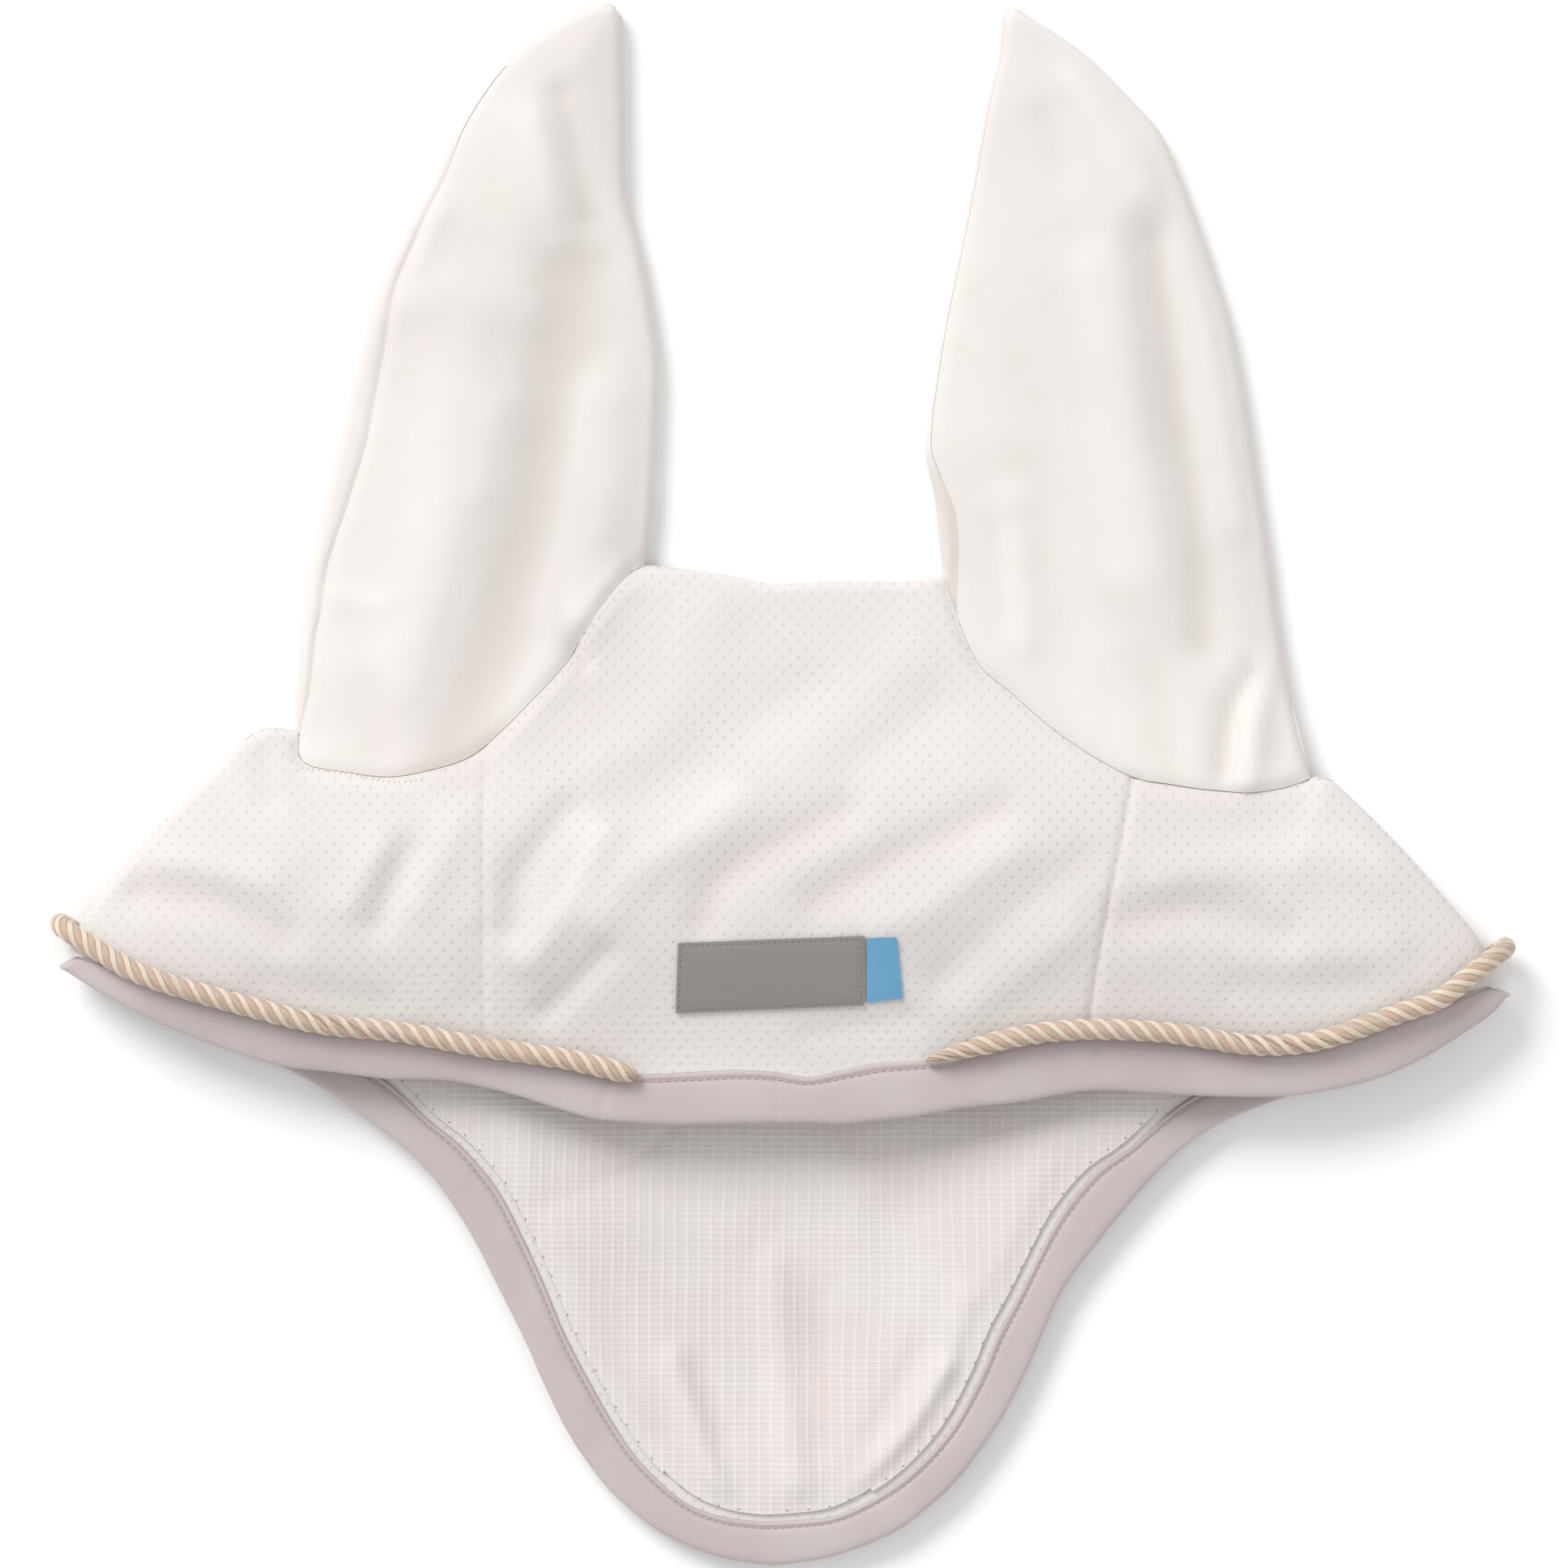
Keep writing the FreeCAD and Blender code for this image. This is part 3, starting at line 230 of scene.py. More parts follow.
LOW_CREASES = [
    ([(-35.4, -185.6), (-26.3, -211.6), (-17.9, -235.6)], 2.0, 4.5), ([(-27.0, -185.6), (-19.8, -209.0)], -0.7, 4.0),
    ([(-2.9, -154.4), (-0.3, -190.8), (4.9, -232.4)], 1.8, 5.5), ([(11.4, -164.8), (12.7, -211.6)], -0.7, 5.0),
    ([(51.7, -188.2), (37.4, -211.6), (23.9, -228.5)], 2.2, 4.5), ([(42.6, -180.4), (27.0, -209.0)], -0.6, 4.0),
    ([(58.2, -164.8), (51.7, -188.2)], 1.0, 5.0), ([(-57.5, -162.2), (-53.6, -188.2), (-43.2, -209.0)], -0.7, 8.0),
    ([(-69.2, -144.0), (-45.8, -138.8), (-17.2, -144.0)], 0.9, 9.0), ([(-34.1, -108.9), (-51.0, -123.2), (-84.8, -138.8)], -0.5, 2.2),
    ([(24.4, -133.6), (21.8, -164.8)], 0.9, 8.0), ([(86.8, -112.8), (71.2, -154.4)], 0.8, 8.0), ([(-84.8, -105.0), (-82.2, -125.8)], 0.8, 6.0),
]


def noise2(P, scale, seed):
    """Smooth noise from a few rotated waves, the same on each run."""
    r = np.random.RandomState(seed)
    out = np.zeros(len(P))
    for _ in range(7):
        a, f, ph = r.uniform(0, math.pi), r.uniform(0.6, 1.5) / scale, r.uniform(0, 6.28)
        out += np.sin((P[:, 0] * math.cos(a) + P[:, 1] * math.sin(a)) * f * 2 * math.pi + ph + 1.3 * np.sin(P[:, 1] / scale * 1.7 + ph))
    return out / 7.0


base_l, base_r = Curve(EAR_L_BASE), Curve(EAR_R_BASE)
SEAMS = [(base_l.p, 1.3, 2.4), (base_r.p, 1.4, 2.4), (smooth(SEAM_L, 4), 0.55, 1.8), (smooth(SEAM_R, 4), 0.9, 1.7)]


def folds(P, creases, edge_fade):
    z = np.zeros(len(P))
    for pts, amp, w in creases:
        pts = np.array(pts, float)
        lo, hi = pts.min(0) - 3 * w, pts.max(0) + 3 * w
        m = (P[:, 0] > lo[0]) & (P[:, 0] < hi[0]) & (P[:, 1] > lo[1]) & (P[:, 1] < hi[1])
        if m.any():
            z[m] += amp * np.exp(-(dist_to(smooth(pts, 4), P[m]) / w) ** 2)
    return z * edge_fade


def upper(P):
    """Height of the poll layer, its creases and its seams."""
    P = P.reshape(-1, 2)
    d = edge_d(P)
    body = 8 + 7 * step01(35, -25, P[:, 1])
    lift = body + (6.5 - body) * step01(-40, -92, P[:, 1])
    z = fold_z(P) + FOLD_R * quarter(d) + lift * (1 - np.exp(-d / 30))
    fade = step01(0.5, 9, d) * (1 - 0.75 * step01(-72, -92, P[:, 1]))
    c = folds(P, UP_CREASES, fade) + 0.22 * noise2(P, 42, 3) * fade + 0.07 * noise2(P, 13, 5) * fade
    # seam grooves sink in height and in c alike; c goes to plan z, so the seams are also painted darker as shade
    for chain, depth, w in SEAMS:
        c = c - depth * np.exp(-(dist_to(chain, P) / w) ** 2) * step01(0, 4, d)
    return z + c, c


def lower(P):
    P = P.reshape(-1, 2)
    d = edge_d(P)
    f, r = fold_z(P), rest_z(P)
    fade = step01(0.5, 9, d) * step01(50, 0, P[:, 1]) * step01(3, 12, dist_to(CORD_RUN, P))
    c = folds(P, LOW_CREASES, fade) + (0.16 * noise2(P, 36, 11) + 0.05 * noise2(P, 12, 12)) * fade
    return f - (f - r) * quarter(d) + c, c


def coons(top, bottom, left, right, us, vs):
    u, v = np.asarray(us)[None, :, None], np.asarray(vs)[:, None, None]
    T, B, L, R = top.at(us)[None], bottom.at(us)[None], left.at(vs)[:, None], right.at(vs)[:, None]
    c00, c10, c01, c11 = T[0, 0], T[0, -1], B[0, 0], B[0, -1]
    return (1 - v) * T + v * B + (1 - u) * L + u * R - ((1 - u) * (1 - v) * c00 + u * (1 - v) * c10 + (1 - u) * v * c01 + u * v * c11)


def crowded(length, step, lo=True, hi=True, fine=(0.0, 0.12, 0.35, 0.7, 1.15, 1.7, 2.35, 3.1, 4.1)):
    a = list(fine) if lo else [0.0]
    b = [length - x for x in reversed(fine)] if hi else [length]
    n = max(1, int(round((b[0] - a[-1]) / step)))
    mid = list(np.linspace(a[-1], b[0], n + 1))[1:-1]
    return np.array(a + mid + b) / length


def raise_grid(plan, f, extra=0.0):
    # c, the crease height, is kept as plan z; the cloth materials paint its valleys as shade and its ridges as
    # highlight
    z, c = f(plan.reshape(-1, 2))
    shape = plan.shape[:2]
    return (np.concatenate([plan, z.reshape(shape)[..., None] + extra], -1),
            np.concatenate([plan, c.reshape(shape)[..., None]], -1))


# ------------------------------------------------------------------ meshes
def finish_mesh(name, V, faces, plan, mat, sharp=55):
    mesh = bpy.data.meshes.new(name)
    mesh.from_pydata(((V + OFF) * 0.001).tolist(), [], faces)
    mesh.validate()
    a = mesh.attributes.new("plan", "FLOAT_VECTOR", "POINT")
    a.data.foreach_set("vector", np.asarray(plan, np.float32).ravel())
    mesh.shade_smooth()
    mesh.set_sharp_from_angle(angle=math.radians(sharp))
    mesh.materials.append(mat)
    o = bpy.data.objects.new(name, mesh)
    bpy.context.scene.collection.objects.link(o)
    return o


def shell(name, layers, thick, mat):
    """A closed cloth of even thickness round grids that share edges.  layers: (grid, plan, faces up)."""
    P = np.concatenate([g.reshape(-1, 3) for g, _, _ in layers])
    A = np.concatenate([p.reshape(-1, 3) for _, p, _ in layers])
    key = np.round(P * 500).astype(np.int64)
    _, first, inv = np.unique(key, axis=0, return_index=True, return_inverse=True)
    inv = inv.ravel()
    V, A = P[first], A[first]
    quads, base = [], 0
    for g, _, up in layers:
        nv, nu = g.shape[:2]
        idx = inv[base:base + nv * nu].reshape(nv, nu)
        base += nv * nu
        a, b, c, d = idx[:-1, :-1], idx[:-1, 1:], idx[1:, 1:], idx[1:, :-1]
        q = np.stack([a, d, c, b] if up else [a, b, c, d], -1).reshape(-1, 4)
        quads.append(q)
    Q = np.concatenate(quads)
    n = np.cross(V[Q[:, 2]] - V[Q[:, 0]], V[Q[:, 3]] - V[Q[:, 1]])
    N = np.zeros_like(V)
    for k in range(4):
        np.add.at(N, Q[:, k], n)
    N /= np.maximum(np.linalg.norm(N, axis=1), 1e-9)[:, None]
    area = 0.5 * np.linalg.norm(n, axis=1).sum()
    faces = []
    for q in Q.tolist():
        u = [q[i] for i in range(4) if q[i] != q[i - 1]]
        if len(u) >= 3 and len(set(u)) == len(u):
            faces.append(u)
    m = len(V)
    edges = {}
    for f in faces:
        for i in range(len(f)):
            edges[(f[i], f[(i + 1) % len(f)])] = 1
    rim = [(b, a, a + m, b + m) for a, b in edges if (b, a) not in edges]
    allf = faces + [tuple(x + m for x in reversed(f)) for f in faces] + rim
    o = finish_mesh(name, np.concatenate([V + N * thick / 2, V - N * thick / 2]), allf, np.concatenate([A, A]), mat)
    return o, area * 1e-6


def frames_along(path):
    t = np.gradient(path, axis=0)
    t /= np.linalg.norm(t, axis=1)[:, None]
    n = np.cross(t[0], [0, 0, 1.0])
    n /= np.linalg.norm(n)
    N = np.empty_like(path)
    for i in range(len(path)):
        n = n - t[i] * (n @ t[i])
        n /= np.linalg.norm(n)
        N[i] = n
    return t, N, np.cross(t, N)


def tubes(paths, radii, sides, tag):
    """Rings round each path, closed at both ends."""
    V, F, A, base = [], [], [], 0
    for path, rad in zip(paths, radii):
        n = len(path)
        t, N, B = frames_along(path)
        ang = np.arange(sides) / sides * 2 * math.pi
        ring = path[:, None] + rad[:, None, None] * (np.cos(ang)[None, :, None] * N[:, None] + np.sin(ang)[None, :, None] * B[:, None])
        s = np.r_[0, np.cumsum(np.linalg.norm(np.diff(path, axis=0), axis=1))]
        V.append(ring.reshape(-1, 3))
        A.append(np.stack([np.repeat(s, sides), np.tile(ang * 10, n), np.full(n * sides, tag)], -1))
        i = (np.arange(n - 1)[:, None] * sides + np.arange(sides)[None]) + base
        j = (np.arange(n - 1)[:, None] * sides + (np.arange(sides)[None] + 1) % sides) + base
        F += np.stack([i, j, j + sides, i + sides], -1).reshape(-1, 4).tolist()
        F.append([base + k for k in reversed(range(sides))])
        F.append([base + (n - 1) * sides + k for k in range(sides)])
        base += n * sides
    return np.concatenate(V), F, np.concatenate(A)


def capsules(points, dirs, ups, length, radius):
    """Short thread stitches: rounded rods lying along dirs."""
    prof = np.array([(-0.5, 0.35), (-0.38, 0.85), (-0.15, 1.0), (0.15, 1.0), (0.38, 0.85), (0.5, 0.35)])
    sides = 7
    V, F = [], []
    for c, d, u in zip(points, dirs, ups):
        d = d / np.linalg.norm(d)
        s = np.cross(d, u)
        s /= np.linalg.norm(s)
        w = np.cross(s, d)
        base = len(V)
        for x, r in prof:
            bend = -radius * 0.9 * (abs(x) * 2) ** 2
            for k in range(sides):
                a = 2 * math.pi * k / sides
                V.append(c + d * (x * length) + w * bend + radius * r * (math.cos(a) * s + math.sin(a) * w))
        for i in range(len(prof) - 1):
            for k in range(sides):
                j = (k + 1) % sides
                F.append([base + i * sides + k, base + i * sides + j, base + (i + 1) * sides + j, base + (i + 1) * sides + k])
        F.append([base + k for k in reversed(range(sides))])
        F.append([base + (len(prof) - 1) * sides + k for k in range(sides)])
    return np.array(V), F


# ------------------------------------------------------------------ materials
class Nodes:
    def __init__(self, name, rough=0.85, sheen=0.0, sheen_rough=0.4, spec=0.3):
        self.mat = bpy.data.materials.new(name)
        self.mat.use_nodes = True
        self.t = self.mat.node_tree
        self.t.nodes.clear()
        self.out = self.t.nodes.new("ShaderNodeOutputMaterial")
        self.b = self.t.nodes.new("ShaderNodeBsdfPrincipled")
        self.t.links.new(self.b.outputs[0], self.out.inputs[0])
        self.b.inputs["Roughness"].default_value = rough
        self.b.inputs["Specular IOR Level"].default_value = spec
        self.b.inputs["Sheen Weight"].default_value = sheen
        self.b.inputs["Sheen Roughness"].default_value = sheen_rough
        a = self.t.nodes.new("ShaderNodeAttribute")
        a.attribute_name = "plan"
        self.vec = a.outputs["Vector"]
        s = self.t.nodes.new("ShaderNodeSeparateXYZ")
        self.t.links.new(self.vec, s.inputs[0])
        self.x, self.y, self.z = s.outputs

    def put(self, sock, v):
        if isinstance(v, (int, float)):
            sock.default_value = v
        elif isinstance(v, (tuple, list)):
            sock.default_value = tuple(v) + (1.0,) * (4 - len(v)) if len(sock.default_value) == 4 else v
        else:
            self.t.links.new(v, sock)

    def m(self, op, a, b=None, c=None, clamp=False):
        n = self.t.nodes.new("ShaderNodeMath")
        n.operation = op
        n.use_clamp = clamp
        for i, v in enumerate((a, b, c)):
            if v is not None:
                self.put(n.inputs[i], v)
        return n.outputs[0]

    def comb(self, x, y, z=0.0):
        n = self.t.nodes.new("ShaderNodeCombineXYZ")
        for i, v in enumerate((x, y, z)):
            self.put(n.inputs[i], v)
        return n.outputs[0]

    def noise(self, vec, scale, detail=2.0, rough=0.5):
        n = self.t.nodes.new("ShaderNodeTexNoise")
        self.put(n.inputs["Vector"], vec)
        self.put(n.inputs["Scale"], scale)
        self.put(n.inputs["Detail"], detail)
        self.put(n.inputs["Roughness"], rough)
        return n.outputs[0]

    def ramp(self, v, a, b):
        """0 at a, 1 at b, smooth between them."""
        n = self.t.nodes.new("ShaderNodeMapRange")
        n.interpolation_type = "SMOOTHSTEP"
        self.put(n.inputs["Value"], v)
        n.inputs["From Min"].default_value = a
        n.inputs["From Max"].default_value = b
        return n.outputs[0]

    def mix(self, f, a, b):
        n = self.t.nodes.new("ShaderNodeMix")
        n.data_type = "RGBA"
        self.put(n.inputs[0], f)
        self.put(n.inputs[6], a)
        self.put(n.inputs[7], b)
        return n.outputs[2]

    def bump(self, h, dist, strength=1.0, normal=None):
        n = self.t.nodes.new("ShaderNodeBump")
        n.inputs["Strength"].default_value = strength
        n.inputs["Distance"].default_value = dist
        self.put(n.inputs["Height"], h)
        if normal is not None:
            self.put(n.inputs["Normal"], normal)
        return n.outputs[0]

    def wave(self, v, pitch, phase=0.0):
        """0 to 1 cosine along v with the given pitch in mm."""
        return self.m("MULTIPLY_ADD", self.m("COSINE", self.m("MULTIPLY_ADD", v, 2 * math.pi / pitch, phase)), 0.5, 0.5)

    def done(self, color, normal=None):
        self.put(self.b.inputs["Base Color"], color)
        if normal is not None:
            self.put(self.b.inputs["Normal"], normal)
        return self.mat


def lin(*rgb):
    return tuple(((c / 255 + 0.055) / 1.055) ** 2.4 if c > 10 else c / 255 / 12.92 for c in rgb)


def knit_material():
    g = Nodes("knit_mesh", rough=0.9, sheen=0.12, spec=0.2)
    px, py = 4.7, 2.6
    wob = g.m("MULTIPLY_ADD", g.noise(g.vec, 0.09, 1.0), 1.6, -0.8)
    x, y = g.m("ADD", g.x, wob), g.m("ADD", g.y, g.m("MULTIPLY", wob, 0.6))
    row = g.m("FLOOR", g.m("DIVIDE", y, py))
    odd = g.m("MULTIPLY", g.m("PINGPONG", row, 1.0), 0.5)
    fx = g.m("ABSOLUTE", g.m("SUBTRACT", g.m("FRACT", g.m("ADD", g.m("DIVIDE", x, px), odd)), 0.5))
    fy = g.m("ABSOLUTE", g.m("SUBTRACT", g.m("FRACT", g.m("DIVIDE", y, py)), 0.5))
    d = g.m("SQRT", g.m("ADD", g.m("POWER", g.m("MULTIPLY", fx, px), 2.0), g.m("POWER", g.m("MULTIPLY", fy, py * 0.8), 2.0)))
    vary = g.ramp(g.noise(g.vec, 0.035, 2.0), 0.3, 0.7)
    hole = g.m("SUBTRACT", 1.0, g.ramp(d, 0.15, 0.8))
    rib = g.m("MULTIPLY", g.wave(g.x, 0.78), g.wave(g.y, 0.65))
    fine = g.noise(g.vec, 1.7, 3.0)
    tone = g.ramp(g.noise(g.vec, 0.012, 2.0), 0.38, 0.62)
    c = g.mix(tone, KNIT_A, KNIT_B)
    c = g.mix(g.m("MULTIPLY", g.m("MULTIPLY", hole, g.m("MULTIPLY_ADD", vary, 0.6, 0.4)), 0.42), c, lin(186, 181, 177))
    c = g.mix(g.m("MULTIPLY", g.m("SUBTRACT", fine, 0.5), 0.10, clamp=True), c, lin(205, 198, 192))
    # painted shade: the knit darkens where the crease height (plan z) sinks, in valleys and seam grooves; painted
    # highlight: it lightens on crease ridges
    c = g.mix(g.m("MULTIPLY", g.ramp(g.z, -0.4, -2.6), 0.16), c, lin(205, 188, 184))
    c = g.mix(g.m("MULTIPLY", g.ramp(g.z, 0.4, 2.0), 0.35), c, lin(232, 229, 225))
    h = g.m("ADD", g.m("MULTIPLY", hole, -1.0), g.m("MULTIPLY", rib, 0.10))
    return g.done(c, g.bump(h, 0.00018, 0.8))


def ear_material():
    g = Nodes("ear_fabric", rough=0.82, sheen=0.18, spec=0.25)
    cols = g.noise(g.comb(g.m("MULTIPLY", g.x, 2.4), g.m("MULTIPLY", g.y, 0.35)), 0.8, 3.0, 0.6)
    fine = g.m("MULTIPLY", g.wave(g.x, 0.62), g.wave(g.y, 0.5))
    tone = g.ramp(g.noise(g.comb(g.m("MULTIPLY", g.x, 0.02), g.m("MULTIPLY", g.y, 0.011)), 1.0, 2.0), 0.35, 0.65)
    mott = g.ramp(g.noise(g.vec, 0.045, 3.0, 0.6), 0.4, 0.7)
    c = g.mix(tone, EAR_A, EAR_B)
    c = g.mix(g.m("MULTIPLY", mott, 0.35), c, EAR_C)
    c = g.mix(g.m("MULTIPLY", g.ramp(cols, 0.45, 0.75), 0.12), c, lin(214, 207, 198))
    # painted shade: the ear cloth darkens where plan z sinks, in crease valleys, along the strip seams and across the
    # right ear's strip; painted highlight: it lightens on ridges
    c = g.mix(g.m("MULTIPLY", g.ramp(g.z, -0.3, -3.2), 0.5), c, lin(200, 190, 178))
    c = g.mix(g.m("MULTIPLY", g.ramp(g.z, 0.3, 2.2), 0.3), c, lin(247, 244, 238))
    h = g.m("ADD", g.m("MULTIPLY", cols, 0.7), g.m("MULTIPLY", fine, 0.25))
    return g.done(c, g.bump(h, 0.00016, 0.6))


def lining_material():
    g = Nodes("waffle_lining", rough=0.88, sheen=0.15, spec=0.22)
    wob = g.m("MULTIPLY_ADD", g.noise(g.vec, 0.02, 1.0), 3.0, -1.5)
    x, y = g.m("ADD", g.x, wob), g.m("ADD", g.y, g.m("MULTIPLY", wob, 0.5))
    rib = g.m("POWER", g.wave(x, 3.9), 5.0)
    rib2 = g.m("POWER", g.wave(x, 1.95), 4.0)
    line = g.m("POWER", g.wave(y, 1.95), 3.0)
    patch = g.ramp(g.noise(g.vec, 0.03, 2.0), 0.35, 0.65)
    grid = g.m("ADD", g.m("MULTIPLY", rib, 0.9), g.m("ADD", g.m("MULTIPLY", rib2, 0.25), g.m("MULTIPLY", line, g.m("MULTIPLY_ADD", patch, 0.4, 0.35))))
    tone = g.ramp(g.noise(g.vec, 0.02, 2.0), 0.35, 0.65)
    c = g.mix(tone, LIN_A, LIN_B)
    c = g.mix(g.m("MULTIPLY", grid, 0.42, clamp=True), c, lin(228, 225, 222))
    c = g.mix(g.m("MULTIPLY", g.m("SUBTRACT", 0.45, grid, clamp=True), 0.30), c, lin(212, 200, 197))
    c = g.mix(g.m("MULTIPLY", g.ramp(g.noise(g.vec, 1.4, 3.0), 0.5, 0.8), 0.18), c, lin(215, 200, 196))
    # painted shade: the lining darkens where the crease height (plan z) sinks into valleys
    c = g.mix(g.m("MULTIPLY", g.ramp(g.z, -0.1, -0.8), 0.25), c, lin(208, 190, 186))
    return g.done(c, g.bump(grid, 0.00017, 0.7))


def binding_material():
    g = Nodes("binding", rough=0.8, sheen=0.3, spec=0.25)
    grain = g.noise(g.vec, 2.2, 4.0, 0.65)
    tone = g.ramp(g.noise(g.vec, 0.022, 2.0), 0.35, 0.65)
    twill = g.wave(g.m("ADD", g.x, g.m("MULTIPLY", g.y, 1.0)), 0.7)
    c = g.mix(tone, BIND_A, BIND_B)
    c = g.mix(g.m("MULTIPLY", g.ramp(grain, 0.45, 0.75), 0.35), c, lin(208, 198, 197))
    # painted shade: the tape darkens in its stitch groove and in pleat folds, both marked in plan z
    c = g.mix(g.m("MULTIPLY", g.ramp(g.z, 0.0, -1.0), 0.45), c, lin(170, 156, 154))
    h = g.m("ADD", g.m("MULTIPLY", grain, 0.8), g.m("MULTIPLY", twill, 0.2))
    return g.done(c, g.bump(h, 0.00022, 0.7))


def rope_material(name, dark, light, bright):
    g = Nodes(name, rough=0.5, sheen=0.35, sheen_rough=0.3, spec=0.45)
    fib = g.wave(g.m("ADD", g.m("MULTIPLY", g.y, 0.42), g.m("MULTIPLY", g.x, 1.1)), 1.6)
    fib2 = g.noise(g.comb(g.m("MULTIPLY", g.y, 0.5), g.m("MULTIPLY", g.x, 0.25), g.z), 1.6, 2.0)
    c = g.mix(g.ramp(g.m("ADD", g.m("MULTIPLY", fib, 0.5), g.m("MULTIPLY", fib2, 0.7)), 0.3, 0.9), dark, light)
    c = g.mix(g.m("MULTIPLY", g.ramp(g.noise(g.vec, 0.15, 2.0), 0.55, 0.75), 0.35), c, bright)
    return g.done(c, g.bump(g.m("ADD", g.m("MULTIPLY", fib, 0.6), fib2), 0.00018, 0.7))


def label_material(name, a, b, warp):
    g = Nodes(name, rough=0.75, sheen=0.1, spec=0.3)
    line = g.m("POWER", g.wave(g.y, 0.62), 1.5)
    col = g.wave(g.x, warp)
    n = g.noise(g.vec, 1.2, 3.0)
    c = g.mix(g.m("ADD", g.m("MULTIPLY", line, 0.5), g.m("MULTIPLY", n, 0.5)), a, b)
    return g.done(c, g.bump(g.m("ADD", g.m("MULTIPLY", line, 0.8), g.m("MULTIPLY", col, 0.3)), 0.00006, 0.5))


def thread_material(name, a, b):
    g = Nodes(name, rough=0.6, sheen=0.2, spec=0.35)
    return g.done(g.mix(g.ramp(g.noise(g.vec, 0.8, 2.0), 0.35, 0.65), a, b), g.bump(g.noise(g.vec, 3.0, 2.0), 0.0001, 0.4))


KNIT_A, KNIT_B = lin(217, 214, 211), lin(216, 210, 208)
EAR_A, EAR_B, EAR_C = lin(224, 221, 217), lin(221, 215, 213), lin(219, 213, 206)
LIN_A, LIN_B = lin(216, 210, 207), lin(213, 204, 202)
BIND_A, BIND_B = lin(194, 184, 183), lin(189, 177, 177)
M_KNIT, M_EAR, M_LIN, M_BIND = knit_material(), ear_material(), lining_material(), binding_material()
# the cord's satin sheen is painted: the strands' beige is the cord colour darkened, painted shade between the ridges,
# and the cream yarn material is a lighter copy of the same satin, painted highlight along each strand's ridge
M_STRAND = rope_material("trim_cord_strand", lin(178, 152, 132), lin(206, 183, 163), lin(222, 202, 184))
M_CORD_HIGHLIGHT = rope_material("trim_cord_highlight", lin(228, 208, 188), lin(244, 230, 213), lin(250, 242, 230))
M_LABEL = label_material("label_weave", lin(128, 125, 123), lin(146, 143, 141), 0.5)
M_TAB = label_material("tab_weave", lin(92, 150, 188), lin(112, 170, 206), 0.5)
M_THREAD = thread_material("thread_taupe", lin(176, 163, 160), lin(190, 178, 175))
M_MARK = thread_material("thread_mark", lin(150, 138, 132), lin(172, 160, 152))
M_CREAM = thread_material("thread_cream", lin(228, 212, 184), lin(240, 228, 205))
M_GREY = thread_material("thread_grey", lin(112, 110, 108), lin(132, 130, 128))

# ------------------------------------------------------------------ shared curves
poll_in, poll_out = Curve(POLL_IN), Curve(POLL_OUT)
fore_in_l, fore_out_l = Curve(FORE_IN_L), Curve(FORE_OUT_L)
fore_in_r, fore_out_r = Curve(FORE_IN_R), Curve(FORE_OUT_R)
split_l = base_l.where(lambda p: p[:, 0] - SEAM_L[0][0])
split_r = base_r.where(lambda p: p[:, 0] - SEAM_R[0][0])
in_l = poll_in.where(lambda p: p[:, 0] - SEAM_L[-1][0])
in_r = poll_in.where(lambda p: p[:, 0] - SEAM_R[-1][0])
tf_l = fore_in_l.where(lambda p: p[:, 0] + 94.3)
tf_r = fore_in_r.where(lambda p: p[:, 0] - 98.0)
FL, FR = fore_in_l.at(tf_l), fore_in_r.at(tf_r)
seam_l, seam_r = Curve(SEAM_L), Curve(SEAM_R)
seam_lf, seam_rf = Curve(SEAM_L + [tuple(FL)]), Curve(SEAM_R + [tuple(FR)])
G = 0.15   # half the seam gap

# ------------------------------------------------------------------ centre cloth: poll face, crown fold, forehead face and flap
ca, cc, cb = base_l.part(split_l, 1, 60), Curve(CROWN).part(0, 1, 60), base_r.part(0, split_r, 60)
top_centre = Curve(np.concatenate([ca, cc[1:], cb[1:]]), raw=True)
ua = np.linalg.norm(np.diff(ca, axis=0), axis=1).sum() / top_centre.len
ub = 1 - np.linalg.norm(np.diff(cb, axis=0), axis=1).sum() / top_centre.len
edge = crowded(190, 1.7)
us = np.unique(np.round(np.r_[edge, ua, ub], 6))
us[0], us[-1] = G / 190, 1 - G / 190
vs = crowded(155, 1.7, hi=False)
plan_u = coons(top_centre, Curve(poll_in.part(in_l, in_r, 200), raw=True), seam_l, seam_r, us, vs)
left = Curve(np.concatenate([seam_lf.p, fore_in_l.part(tf_l, 0.87, 80)[1:]]), raw=True)
right = Curve(np.concatenate([seam_rf.p, fore_in_r.part(tf_r, 0.87, 80)[1:]]), raw=True)
low = Curve(np.concatenate([fore_in_l.part(0.87, 1, 30), fore_in_r.part(0.87, 1, 30)[::-1][1:]]), raw=True)
vs2 = crowded(300, 2.0, hi=False)
plan_d = coons(top_centre, low, left, right, us, vs2)
gu, pu = raise_grid(plan_u, upper)
gd, pd = raise_grid(plan_d, lower)
crown = (us >= ua - 1e-6) & (us <= ub + 1e-6)
fz = fold_z(plan_u[0])
gu[0, crown, 2] = fz[crown]
gd[0, crown] = gu[0, crown]
gu[0, ~crown, 2] += 0.3
gd[0, ~crown, 2] -= 0.3
centre, centre_area = shell("centre_cloth", [(gu, pu, True), (gd, pd, False)], 1.2, M_KNIT)
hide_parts("center_panel", "flap_panel")

